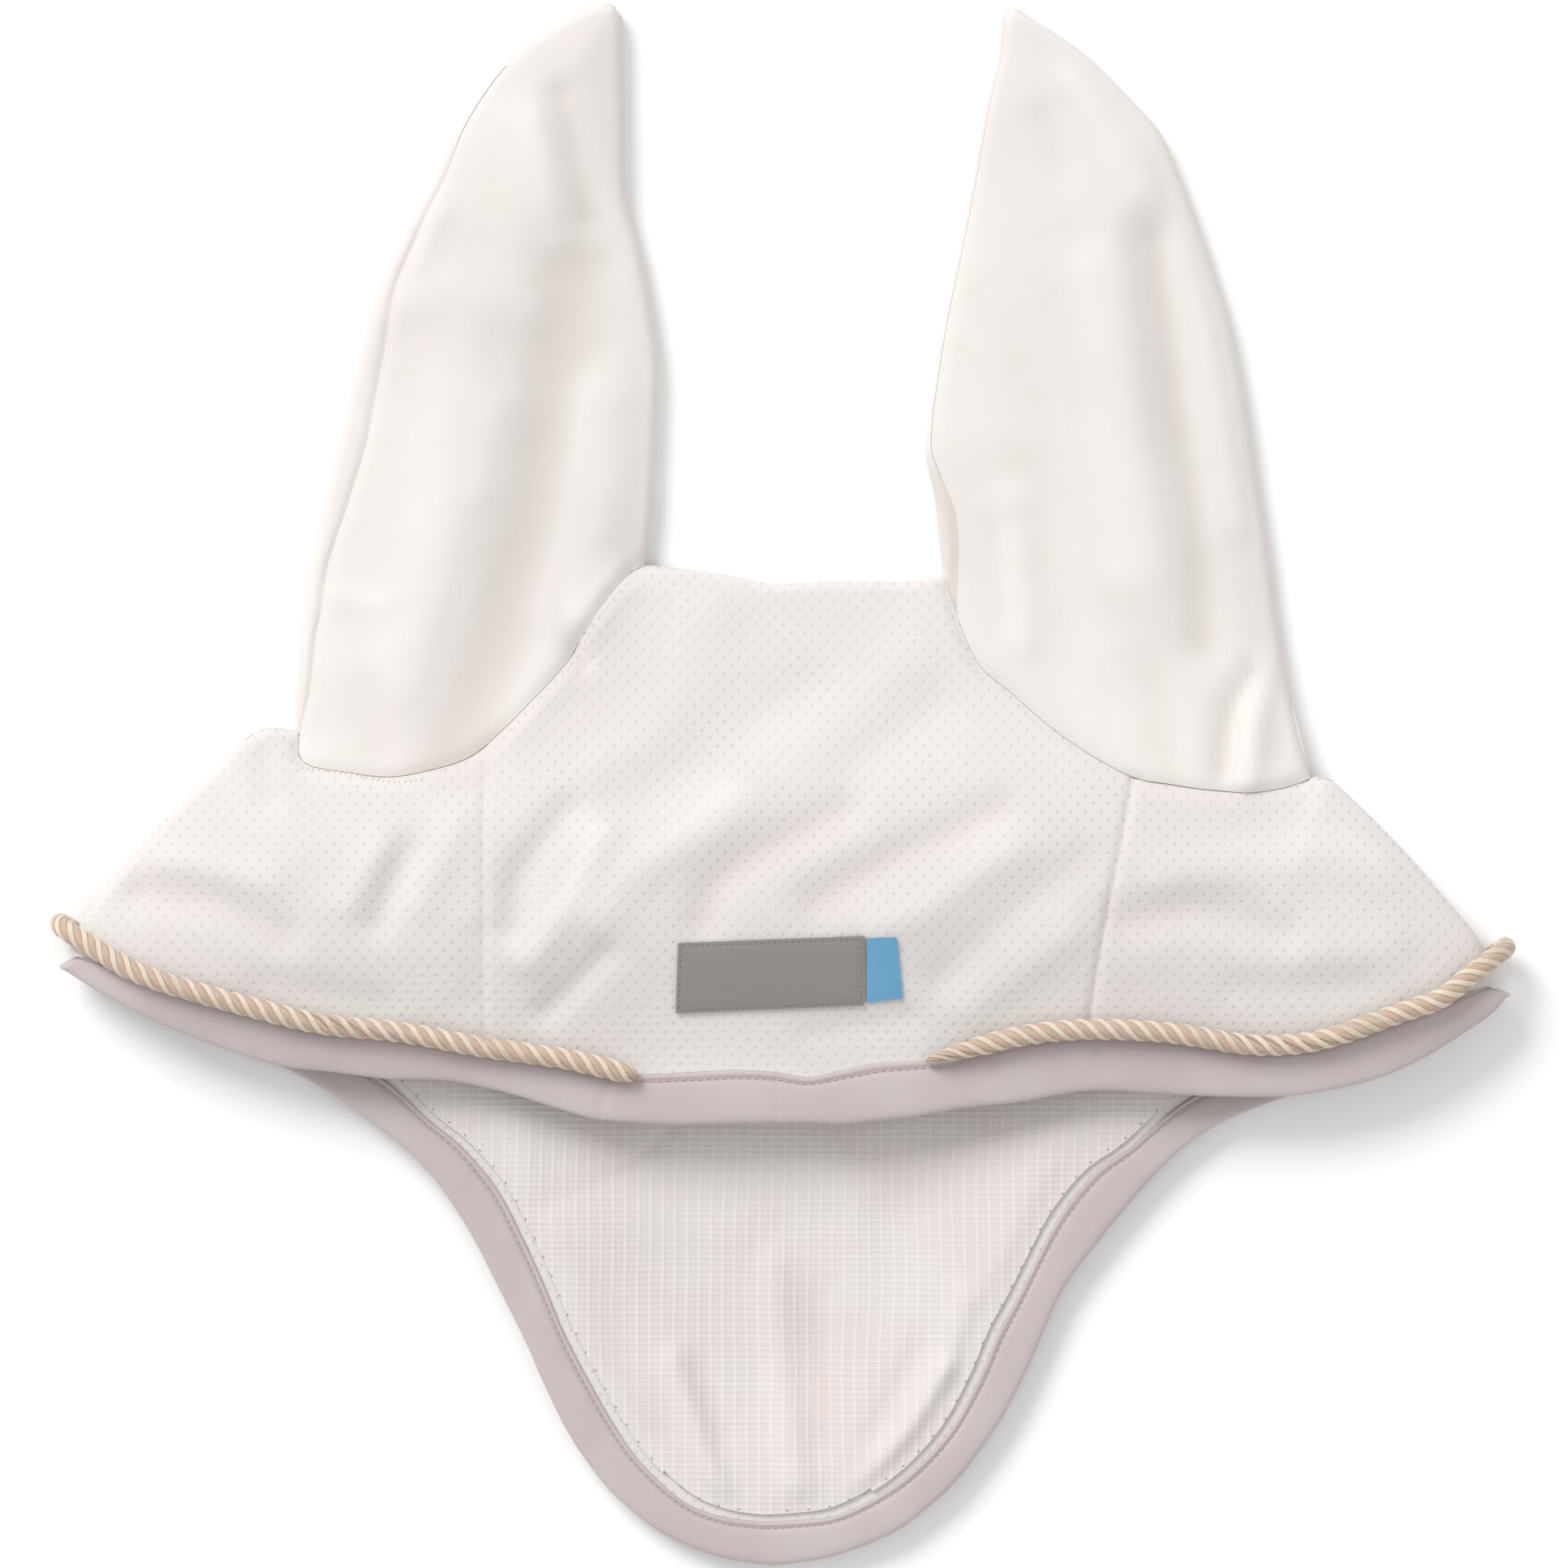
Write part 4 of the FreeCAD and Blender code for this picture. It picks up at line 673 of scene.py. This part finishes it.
# ------------------------------------------------------------------ side cloths
def side_cloth(name, side, base, b0, b1, seam, seam_f, p0, p1, fore, tf, left_side, node):
    ws = crowded(95, 1.8)
    ws[-1] = 1 - G / 90
    vv = crowded(100, 1.8)
    top = Curve(base.part(b0, b1, 80) if left_side else base.part(b0, b1, 80)[::-1], raw=True)
    pol = poll_in.part(p0, p1, 160)
    pol = Curve(pol if left_side else pol[::-1], raw=True)
    a = coons(top, pol, Curve(side), seam, ws, vv)
    b = coons(top, Curve(fore.part(0, tf, 160), raw=True), Curve(side), seam_f, ws, vv)
    ga, pa = raise_grid(a, upper)
    gb, pb = raise_grid(b, lower)
    gb[:, 0] = ga[:, 0]
    # clear of the ear's own cloth along the base seam
    ga[0, 1:, 2] += 0.2
    gb[0, 1:, 2] -= 0.2
    o, area = shell(name, [(ga, pa, left_side), (gb, pb, not left_side)], 1.2, M_KNIT)
    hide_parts(node)
    return o, area


side_l, side_l_area = side_cloth("side_cloth_left", SIDE_L, base_l, 0.0, split_l, seam_l, seam_lf, 0.0, in_l, fore_in_l, tf_l, True, "side_panel_left")
side_r, side_r_area = side_cloth("side_cloth_right", SIDE_R, base_r, split_r, 1.0, seam_r, seam_rf, in_r, 1.0, fore_in_r, tf_r, False, "side_panel_right")

# ------------------------------------------------------------------ lining: forehead face and flap, one piece
LIN_UP = 0.6 + 0.35 + 0.4


def inset(pts, by, to):
    pts = np.asarray(pts, float)
    d = np.array(to) - pts
    return pts + d / np.linalg.norm(d, axis=1)[:, None] * by


top_line = inset(np.concatenate([base_l.part(0.06, 1, 60), Curve(CROWN).part(0, 1, 40)[1:], base_r.part(0, 0.95, 60)[1:]]), 7, (0, -60))
sl = inset(SIDE_L[1:], 7.5, (-60, -60))[1:-1]
sr = inset(SIDE_R[1:], 7.5, (60, -60))[1:-1]
al = fore_in_l.where(lambda p: p[:, 0] + 212)
ar = fore_in_r.where(lambda p: p[:, 0] - 211.5)


def run_in(fore, a, b, sx):
    p = fore.part(a, b, 120)
    k = np.linspace(0, 1, len(p))[:, None]
    return p + np.array([[1.5 * sx, 4.0]]) * (1 - np.clip(k * 2.2, 0, 1)) + np.array([[3.2 * sx, 0.6]]) * np.clip(k * 2.2, 0, 1)


lp = Curve(np.concatenate([top_line[:1], Curve(np.concatenate([sl, [(-212.0, -51.5)]])).p, run_in(fore_in_l, al, 0.87, 1)]), raw=True)
rp = Curve(np.concatenate([top_line[-1:], Curve(np.concatenate([sr, [(211.5, -62.0)]])).p, run_in(fore_in_r, ar, 0.87, -1)]), raw=True)
def tip_inset(c, side):
    """the end of an edge moved inward; the sideways part fades out at the tip so that the two halves meet"""
    p = c.part(0.87, 1, 30)
    return p + np.stack([side * 2.6 * np.clip(np.linspace(1, 0, len(p)) / 0.4, 0, 1), np.full(len(p), 2.4)], 1)


lowl = np.concatenate([tip_inset(fore_in_l, 1), tip_inset(fore_in_r, -1)[::-1][2:]])
lowl[0], lowl[-1] = lp.p[-1], rp.p[-1]
# rows are spread evenly along both long edges
ys = np.linspace(0, 1, 150)


def by_height(c):
    y = c.p[:, 1]
    keep = np.r_[True, np.diff(np.minimum.accumulate(y)) < -1e-6]
    return keep


plan_l = coons(Curve(top_line, raw=True), Curve(lowl, raw=True), lp, rp, crowded(360, 2.2, False, False), ys)
gl, pl = raise_grid(plan_l, lower, LIN_UP)
lining, lining_area = shell("lining", [(gl, pl, True)], 0.8, M_LIN)
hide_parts("forehead_lining", "flap_lining")

# ------------------------------------------------------------------ ears
CH_L = (np.array((-153.8, 6.5)), np.array((-45.4, 69.9)))
CH_R = (np.array((51.1, 66.3)), np.array((167.8, 1.8)))
STRIP_L = ([-20, 8, 30, 45, 53.6, 67.9, 84.8, 105.6, 136.8, 154.4, 170.6, 185, 215, 251], [1.5, 1.5, 4.5, 5.0, 6.4, 6.0, 8.6, 10.0, 7.6, 5.4, 5.0, 3.4, 2.0, 1.0])
STRIP_R = ([-20, 40, 46, 53, 60, 69, 84.8, 98, 108, 120, 251], [12.5, 13.0, 14.0, 15.5, 14.5, 12.0, 8.6, 4.5, 1.6, 0.8, 0.6])


def ear(side, outp, inp, base, chord, s_h, strip, strip_outer):
    d = (chord[1] - chord[0]) / np.linalg.norm(chord[1] - chord[0])
    n = np.array([-d[1], d[0]])
    co, ci = Curve(outp), Curve(inp)

    def s_of(p):
        return (p - chord[0]) @ n

    w = crowded(100, 2.0)
    to, ti = co.where(lambda p: s_of(p) - s_h), ci.where(lambda p: s_of(p) - s_h)
    lo, li = co.at(to), ci.at(ti)
    hinge = lo + (li - lo) * w[:, None]
    bp = base.at(w if side == "left" else 1 - w)
    r1 = np.r_[0.012, 0.03, 0.06, 0.1, np.linspace(0.15, 1, 12)]
    rows = [bp + (hinge - bp) * v for v in r1]
    r2 = np.r_[np.linspace(0, 0.93, 100)[1:], np.linspace(0.93, 0.994, 14)[1:]]
    rows += [co.at(to + (1 - to) * v) * (1 - w[:, None]) + ci.at(ti + (1 - ti) * v) * w[:, None] for v in r2]
    plan = np.array(rows)
    up, pu_ = raise_grid(plan, upper)
    dn, pd_ = raise_grid(plan, lower)
    if not strip_outer:
        up, pu_, dn, pd_ = up[:, ::-1], pu_[:, ::-1], dn[:, ::-1], pd_[:, ::-1]
        w = 1 - w[::-1]
    nb, ns = 46, 14
    bg, bp_, fg, fp_ = [], [], [], []
    for i in range(len(plan)):
        row, rp_ = up[i], pu_[i]
        width = np.linalg.norm(row[-1, :2] - row[0, :2])
        ymid = row[0, 1] if strip_outer else row[0, 1]
        sw = np.interp(ymid, *strip)
        f = min(sw / max(width, 1e-6), 0.3)
        gapf = min((0.3 if f * width > 1.6 and strip_outer else 0.02) / max(width, 1e-6), 0.05)

        def at(seq, q):
            return np.stack([np.interp(q, w, seq[:, k]) for k in range(3)], -1)

        e = crowded(100, 2.2, lo=False)
        q = f + gapf + (1 - f - gapf) * e
        b = at(row, q)
        bpn = at(rp_, q)
        # the back panel rolls down into the seam beside the strip; its plan z drops there as well, painted as shade in
        # the seam
        dd = (q - f) * width
        roll = np.exp(-(dd / 1.7) ** 2) * step01(1.2, 3.0, f * width)
        b[:, 2] -= (1.1 if strip_outer else 0.1) * roll
        bpn[:, 2] -= 1.2 * roll
        qs = f * (1 - np.linspace(0, 1, ns) ** 0.8)
        s_ = at(row, qs)
        sp = at(rp_, qs)
        ds = (f - qs) * width
        r_ = np.exp(-(ds / 1.6) ** 2) * step01(1.2, 3.0, f * width)
        s_[:, 2] -= (1.0 if strip_outer else 0.8) * (r_ if strip_outer else np.exp(-(ds / 5.0) ** 2) * step01(1.2, 5.0, f * width))
        # plan z of the strip drops beside the seam, and broadly across the right ear's strip, painted as shade by the
        # ear material
        sp[:, 2] -= 1.2 * r_ if strip_outer else 3.2 * step01(1.2, 6.0, f * width) * np.exp(-(ds / 9.0) ** 2)
        fr = np.concatenate([s_, dn[i][1:]])
        fpn = np.concatenate([sp, pd_[i][1:]])
        b[-1, 2] += 0.2
        fr[-1, 2] -= 0.2
        bg.append(b); bp_.append(bpn); fg.append(fr); fp_.append(fpn)
    flip = strip_outer
    back, a1 = shell(side + "_ear_back_cloth", [(np.array(bg), np.array(bp_), not flip)], 1.3, M_EAR)
    front, a2 = shell(side + "_ear_front_cloth", [(np.array(fg), np.array(fp_), flip)], 1.3, M_EAR)
    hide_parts(side + "_ear_back", side + "_ear_back_base")
    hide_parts(side + "_ear_front", side + "_ear_front_base")
    for o in (back, front):
        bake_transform(o)
    return back, front, a1, a2


lb, lf, lba, lfa = ear("left", EAR_L_OUT, EAR_L_IN, base_l, CH_L, 18.0, STRIP_L, True)
rb, rf, rba, rfa = ear("right", EAR_R_OUT, EAR_R_IN, base_r, CH_R, 20.0, STRIP_R, False)

# ------------------------------------------------------------------ binding: one folded tape round the whole opening
def poll_edge(P):
    return np.maximum(upper(P)[0], 13.2)


mid_in = poll_in.where(lambda p: p[:, 0] + 2.5)
mid_out = poll_out.where(lambda p: p[:, 0] + 2.5)
FORE_Z = 7.2 + 0.0 + 0.6


def strip_rows(ci, a0, a1, co, b0, b1, n):
    return ci.part(a0, a1, n), co.part(b0, b1, n)


def wing(pi, po, fi, fo, n=14):
    """Rows round the wing tip, from the poll face to the forehead face."""
    out = []
    t = pi[-1, :2] - pi[-6, :2]
    t = np.r_[t / np.linalg.norm(t), 0]
    for k in range(1, n):
        ph = math.pi * k / n
        w = (1 - math.cos(ph)) / 2
        a = pi[-1] * (1 - w) + fi[0] * w + t * (2.7 * math.sin(ph))
        b = po[-1] * (1 - w) + fo[0] * w + t * (1.6 * math.sin(ph))
        out.append((a, b, math.cos(ph) * np.array([0, 0, 1.0]) + math.sin(ph) * t))
    return out


def with_z(P, z):
    return np.concatenate([P, np.broadcast_to(z, len(P))[:, None]], 1)


a, b = strip_rows(poll_in, mid_in - 0.00003, 0.016, poll_out, mid_out - 0.00003, 0.006, 150)
PL = (with_z(a, poll_edge(a)), with_z(b, poll_edge(b)))
a, b = strip_rows(fore_in_l, 0.02, 1, fore_out_l, 0.008, 1, 210)
FLr = (with_z(a, FORE_Z), with_z(b, FORE_Z))
a, b = strip_rows(poll_in, mid_in + 0.00003, 0.984, poll_out, mid_out + 0.00003, 0.994, 150)
PR = (with_z(a, poll_edge(a)), with_z(b, poll_edge(b)))
a, b = strip_rows(fore_in_r, 0.02, 1, fore_out_r, 0.008, 1, 210)
FRr = (with_z(a, FORE_Z), with_z(b, FORE_Z))
rows = [(PL[0][i], PL[1][i], np.array([0, 0, 1.0])) for i in range(len(PL[0]))]
rows += wing(PL[0], PL[1], FLr[0], FLr[1])
rows += [(FLr[0][i], FLr[1][i], np.array([0, 0, -1.0])) for i in range(len(FLr[0]))]
rows += [(FRr[0][i], FRr[1][i], np.array([0, 0, -1.0])) for i in range(len(FRr[0]) - 2, -1, -1)]
rows += [(x, y, z) for x, y, z in wing(PR[0], PR[1], FRr[0], FRr[1])][::-1]
rows += [(PR[0][i], PR[1][i], np.array([0, 0, 1.0])) for i in range(len(PR[0]) - 1, -1, -1)]
SEC = [(0.0, 0.45), (0.015, 0.95), (0.05, 1.25), (0.09, 1.2), (0.125, 0.8), (0.16, 0.8), (0.2, 1.2), (0.28, 1.42), (0.4, 1.5), (0.55, 1.5),
       (0.7, 1.46), (0.82, 1.36), (0.9, 1.15), (0.95, 0.9), (0.985, 0.52), (1.0, 0.0)]
SEC = SEC + [(w, -h) for w, h in SEC[-2::-1]]
cent = np.array([(r[0] + r[1]) / 2 for r in rows])
run = np.r_[0, np.cumsum(np.linalg.norm(np.diff(cent, axis=0), axis=1))]
# cross pleats and the join, each as (place, depth, half width)
PLEATS = [((-58.2, -98.5), 0.9, 1.5), ((-54.9, -98.5), -0.5, 1.8), ((84.2, -94.6), 0.8, 1.5), ((81.1, -95.9), -0.5, 1.8), ((-2.3, -99.8), 0.35, 0.9),
          ((59.5, -98.5), 0.4, 1.5), ((-101.7, -131.0), 0.6, 2.0), ((-139.4, -86.8), 0.4, 2.0)]
V, A = [], []
for i, (pi_, po_, nn) in enumerate(rows):
    ax = po_ - pi_
    width = np.linalg.norm(ax)
    wav = 0.25 * math.sin(run[i] / 9.0 + 1.7 * math.sin(run[i] / 31.0)) + 0.12 * math.sin(run[i] / 3.7)
    dep = 0.0
    if nn[2] > 0.5 or True:
        for (qx, qy), dpt, hw in PLEATS:
            c2 = (pi_[:2] + po_[:2]) / 2
            dx = math.hypot(c2[0] - qx, (c2[1] - qy) * 0.35)
            dep += dpt * math.exp(-(dx / hw) ** 2)
    for w, h in SEC:
        k = (1 - 0.35 * min(1, abs(dep)) * (dep > 0)) if h > 0 else 1.0
        puff = 1 + 0.10 * wav * (0.3 < w < 0.9) - dep * 0.22 * (w > 0.03)
        p = pi_ + ax * w + nn * (h * puff) + ax / width * (wav * 0.35 * max(0, w - 0.8) * 5)
        V.append(p)
        # plan z is -1 in the stitch groove and lower in pleats, painted as shade by the binding material
        A.append((w * width + 40.0, run[i], -1.0 * (0.1 < w < 0.18) - 0.5 * max(0, dep)))
V, A = np.array(V), np.array(A)
m = len(SEC)
n = len(rows)
i = np.arange(n - 1)[:, None] * m + np.arange(m)[None]
j = np.arange(n - 1)[:, None] * m + (np.arange(m)[None] + 1) % m
F = np.stack([i, i + m, j + m, j], -1).reshape(-1, 4).tolist()
F.append(list(range(m)))
F.append(list(reversed(range((n - 1) * m, n * m))))
binding = finish_mesh("binding_tape", V, F, A, M_BIND, 65)
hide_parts("poll_binding_left", "poll_binding_right", "forehead_binding_left", "forehead_binding_right", "flap_binding")

# ------------------------------------------------------------------ trim cord
R_CORD = 3.1
t_l = poll_in.where(lambda p: p[:, 0] + 48.8)
t_r = poll_in.where(lambda p: p[:, 0] - 49.5)


def poll_run(t0, t1, n):
    p = poll_in.part(t0, t1, n)
    q = p + [[0, 0.8]]
    z = np.maximum(poll_edge(p) + 1.5 + 0.25 + R_CORD, upper(q + [[0, 1.5]])[0] + 0.6 + 0.3 + R_CORD * 0.88)
    return with_z(q, z)


pl_, pr_ = poll_run(t_l, 0.042, 90), poll_run(0.958, t_r, 90)
wl = np.array([(-221.5, -51.5, 20.4), (-229.2, -46.9, 16.9), (-232.0, -44.8, 10.6), (-230.6, -45.6, 5.8), (-224.0, -49.5, 3.0)])
wr = np.array([(223.0, -58.5, 3.0), (229.6, -53.4, 5.8), (231.2, -52.3, 10.6), (228.3, -54.5, 16.9), (220.5, -60.0, 20.4)])
fl_ = with_z(fore_in_l.part(0.07, 1, 120) + [[0.6, 0.6]], 2.95)
fr_ = with_z(fore_in_r.part(1, 0.06, 120)[1:] + [[-0.6, 0.6]], 2.95)
knots = np.concatenate([pl_[::6], wl, fl_[::6], fr_[::6], wr, pr_[::6], pr_[-1:]])
# the two ends are tucked in: the left one rounds down to the binding, the right one runs out thin
knots[0] += [1.2, -1.2, -1.3]
knots[-1] += [-4.0, -1.8, -2.2]
line = smooth(knots, 0.9)
for _ in range(3):
    line[1:-1] = (line[:-2] + 2 * line[1:-1] + line[2:]) / 4
c = Curve(line, raw=True)
ns = int(c.len / 0.85)
line = c.at(np.linspace(0, 1, ns))
s = np.linspace(0, c.len, ns)
T, Nn, Bb = frames_along(line)
LAY = 16.6
end = np.minimum(0.45 + 0.55 * np.sqrt(np.clip(s / 3.5, 0, 1)), 0.22 + 0.78 * np.clip((c.len - s) / 20, 0, 1) ** 0.7)
strands, srad, highlight_yarns, highlight_radii = [], [], [], []
for k in range(3):
    th = 2 * math.pi * (s / LAY + k / 3)
    strands.append(line + (1.62 * end)[:, None] * (np.cos(th)[:, None] * Nn + np.sin(th)[:, None] * Bb))
    srad.append(1.58 * end * (1 + 0.03 * np.sin(s * 1.3 + k)))
    # thin cream tubes proud of each strand's ridge, carrying the painted highlight
    for off in (-0.17, 0.17):
        th2 = th + math.pi / 3 + off
        highlight_yarns.append(line + ((2.86) * end)[:, None] * (np.cos(th2)[:, None] * Nn + np.sin(th2)[:, None] * Bb))
        highlight_radii.append(0.56 * end * (1 + 0.06 * np.sin(s * 2.1 + k)))
V, F, A = tubes(strands, srad, 12, 1.0)
rope = finish_mesh("trim_cord_strands", V, F, A, M_STRAND, 60)
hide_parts("trim_cord_left", "trim_cord_right", "trim_cord_flap")
V, F, A = tubes(highlight_yarns, highlight_radii, 7, 2.0)
cord_highlight = finish_mesh("trim_cord_highlight_yarns", V, F, A, M_CORD_HIGHLIGHT, 60)
CORD_LEN = c.len

# ------------------------------------------------------------------ stitches
def along(p3, pitch, jitter=0.06):
    c_ = Curve(p3, raw=True)
    k = int(c_.len / pitch)
    t = (np.arange(k) + 0.5) / k
    q = c_.at(t)
    d_ = c_.at(np.clip(t + 0.3 / k, 0, 1)) - c_.at(np.clip(t - 0.3 / k, 0, 1))
    r = np.random.RandomState(len(q))
    d_ = d_ / np.linalg.norm(d_, axis=1)[:, None]
    d_[:, :2] += r.uniform(-jitter, jitter, (len(q), 2))
    return q, d_


def stitch_piece(name, sets, mat, length, radius):
    V, F = [], []
    base = 0
    for q, d_, u in sets:
        v, f = capsules(q, d_, np.broadcast_to(u, q.shape), length, radius)
        V.append(v)
        F += [[x + base for x in g_] for g_ in f]
        base += len(v)
    V = np.concatenate(V)
    return finish_mesh(name, V, F, V * 3.0, mat, 70)


UPV, DNV = np.array([0, 0, 1.0]), np.array([0, 0, -1.0])


def on_tape(pair, w, h, sel=slice(None)):
    return pair[0][sel] * (1 - w) + pair[1][sel] * w + np.array([0, 0, h])


sets = []
for pair in (PL, PR):
    q, d_ = along(on_tape(pair, 0.142, 0.92), 2.55)
    sets.append((q, d_, UPV))
poll_stitch = stitch_piece("poll_stitches", sets, M_THREAD, 1.9, 0.26)
sets = []
for pair in (FLr, FRr):
    q, d_ = along(on_tape(pair, 0.142, 0.92), 2.45)
    sets.append((q, d_, UPV))
    q, d_ = along(on_tape(pair, 0.142, -0.92), 2.45)
    sets.append((q, d_, DNV))
fore_stitch = stitch_piece("forehead_stitches", sets, M_THREAD, 1.85, 0.25)
# the cord's sewing shows inside as a line of small marks on the lining
sets = []
for fore, sx in ((fore_in_l, 1), (fore_in_r, -1)):
    p = fore.part(0.30, 0.985, 300)
    t = np.gradient(p, axis=0)
    t /= np.linalg.norm(t, axis=1)[:, None]
    nrm = np.stack([-t[:, 1], t[:, 0]], 1) * sx
    q2 = p + nrm * 3.4
    z = lower(q2)[0] + LIN_UP + 0.42
    q, d_ = along(with_z(q2, z), 6.6, 0.5)
    sets.append((q, d_, UPV))
marks = stitch_piece("cord_sewing_marks", sets, M_MARK, 1.1, 0.22)

# ------------------------------------------------------------------ label and its side tab
def patch(name, corners, up_by, thick, mat, slot, node):
    a, b, c_, d_ = [np.array(k, float) for k in corners]
    nu, nv = int(np.linalg.norm(b - a) / 0.9), int(np.linalg.norm(d_ - a) / 0.9)
    u, v = np.linspace(0, 1, nu + 1)[None, :, None], np.linspace(0, 1, nv + 1)[:, None, None]
    P = (1 - v) * ((1 - u) * a + u * b) + v * ((1 - u) * d_ + u * c_)
    z, cr = upper(P.reshape(-1, 2))
    z = z.reshape(P.shape[:2])
    # woven stiff: it spans the small creases below it
    for _ in range(30):
        z[1:-1] = (z[:-2] + 2 * z[1:-1] + z[2:]) / 4
        z[:, 1:-1] = (z[:, :-2] + 2 * z[:, 1:-1] + z[:, 2:]) / 4
    eu, ev = np.minimum(u, 1 - u)[0, :, 0] * np.linalg.norm(b - a), np.minimum(v, 1 - v)[:, 0, 0] * np.linalg.norm(d_ - a)
    edge_ = np.minimum(eu[None, :], ev[:, None])
    z = z + up_by - 0.25 * np.exp(-((edge_ - 1.3) / 0.6) ** 2) - 0.2 * np.exp(-(edge_ / 0.7) ** 2)
    g_ = np.concatenate([P, z[..., None]], -1)
    pl2 = np.concatenate([P, np.zeros(z.shape)[..., None]], -1)
    o, ar_ = shell(name, [(g_, pl2, True)], thick, mat)
    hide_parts(node)
    return o, g_


label, lg = patch("label_blank", LABEL, 1.6, 0.6, M_LABEL, "label", "label")
tab, tg = patch("label_side_tab", LABEL_TAB, 1.45, 0.6, M_TAB, "label_tab", "label_tab")
rim = []
gi = 1
loop = [lg[gi, gi:-gi], lg[gi:-gi, -gi - 1], lg[-gi - 1, gi:-gi][::-1], lg[gi:-gi, gi][::-1]]
sets = []
for l_ in loop:
    q, d_ = along(l_ + [[0, 0, 0.33]], 1.9, 0.03)
    sets.append((q, d_, UPV))
label_stitch = stitch_piece("label_stitches", sets, M_GREY, 1.3, 0.16)

# ------------------------------------------------------------------ overlock threads that show at the left ear's base
q2 = Curve([(-154.4, 5.5), (-147.2, 4.7), (-136.8, 3.4), (-126.4, 1.0), (-116.0, 1.6)])
p2 = q2.part(0, 1, 22)
z2 = upper(p2 - [[0, 0.6]])[0]
dd = np.stack([np.cos(np.arange(23) * 1.9) * 0.35 + 0.25, np.ones(23), np.zeros(23)], 1)
over = stitch_piece("overlock_threads", [(with_z(p2 - [[0, 0.7]], z2 + 0.85), dd, UPV)], M_CREAM, 2.1, 0.17)

# seam stitches beside the two ear-base seams
sets = []
for crv, off_, t0, t1 in ((base_r, -1.7, 0.03, 0.97), (base_l, -1.7, 0.10, 0.97)):
    p = crv.part(t0, t1, 160)
    t = np.gradient(p, axis=0)
    t /= np.linalg.norm(t, axis=1)[:, None]
    q3 = p + np.stack([-t[:, 1], t[:, 0]], 1) * (off_)
    q, d_ = along(with_z(q3, upper(q3)[0] + 0.66), 2.8, 0.05)
    sets.append((q, d_, UPV))
M_SEAM = thread_material("thread_seam", lin(212, 202, 192), lin(224, 216, 206))
seam_st = stitch_piece("ear_base_stitches", sets, M_SEAM, 1.7, 0.17)

# ------------------------------------------------------------------ bodies
for o in (centre, side_l, side_r, lining, binding, rope, cord_highlight, fore_stitch, marks):
    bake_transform(o)
for o in (poll_stitch, label, tab, label_stitch, over, seam_st):
    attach(o, "hood")


print("AREAS", [round(v, 4) for v in (centre_area, side_l_area, side_r_area, lining_area, lba, lfa, rba, rfa)], "cord", round(CORD_LEN, 1), "tape", round(run[-1], 1))

# ------------------------------------------------------------------ floor, light and camera
me = bpy.data.meshes.new("floor")
me.from_pydata([(-4, -4, -0.0002), (4, -4, -0.0002), (4, 4, -0.0002), (-4, 4, -0.0002)], [], [(0, 1, 2, 3)])
fm = bpy.data.materials.new("floor_pale")
fm.use_nodes = True
fb = fm.node_tree.nodes["Principled BSDF"]
fb.inputs["Base Color"].default_value = (0.97, 0.97, 0.97, 1)
fb.inputs["Roughness"].default_value = 1.0
fb.inputs["Specular IOR Level"].default_value = 0.0
me.materials.append(fm)
floor = bpy.data.objects.new("floor", me)
bpy.context.scene.collection.objects.link(floor)
floor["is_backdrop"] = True

world = bpy.data.worlds.new("soft_world")
world.use_nodes = True
bg = world.node_tree.nodes["Background"]
bg.inputs[0].default_value = (1.0, 1.0, 1.0, 1)
bg.inputs[1].default_value = 0.66
bpy.context.scene.world = world


def sun(name, direction, strength, angle, color=(1, 1, 1)):
    l = bpy.data.lights.new(name, "SUN")
    l.energy = strength
    l.angle = math.radians(angle)
    l.color = color
    o = bpy.data.objects.new(name, l)
    from mathutils import Vector
    o.rotation_mode = "QUATERNION"
    o.rotation_quaternion = Vector(direction).to_track_quat("-Z", "Y")
    bpy.context.scene.collection.objects.link(o)


sun("key", (0.75, -0.95, -0.85), 2.25, 30, (1.0, 0.993, 0.985))
sun("fill", (-0.6, 0.3, -1.0), 0.35, 60, (0.97, 0.98, 1.0))

cam = bpy.data.cameras.new("camera")
cam.lens = 200
cam.sensor_width = 36
cam_o = bpy.data.objects.new("camera", cam)
cam_o.location = (0.000416, 0.000967, 0.25116 / 0.09 + 0.011)
cam_o.rotation_euler = (0, 0, 0)
bpy.context.scene.collection.objects.link(cam_o)
bpy.context.scene.camera = cam_o
sc = bpy.context.scene
sc.view_settings.view_transform = "Standard"
sc.view_settings.look = "None"

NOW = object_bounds()
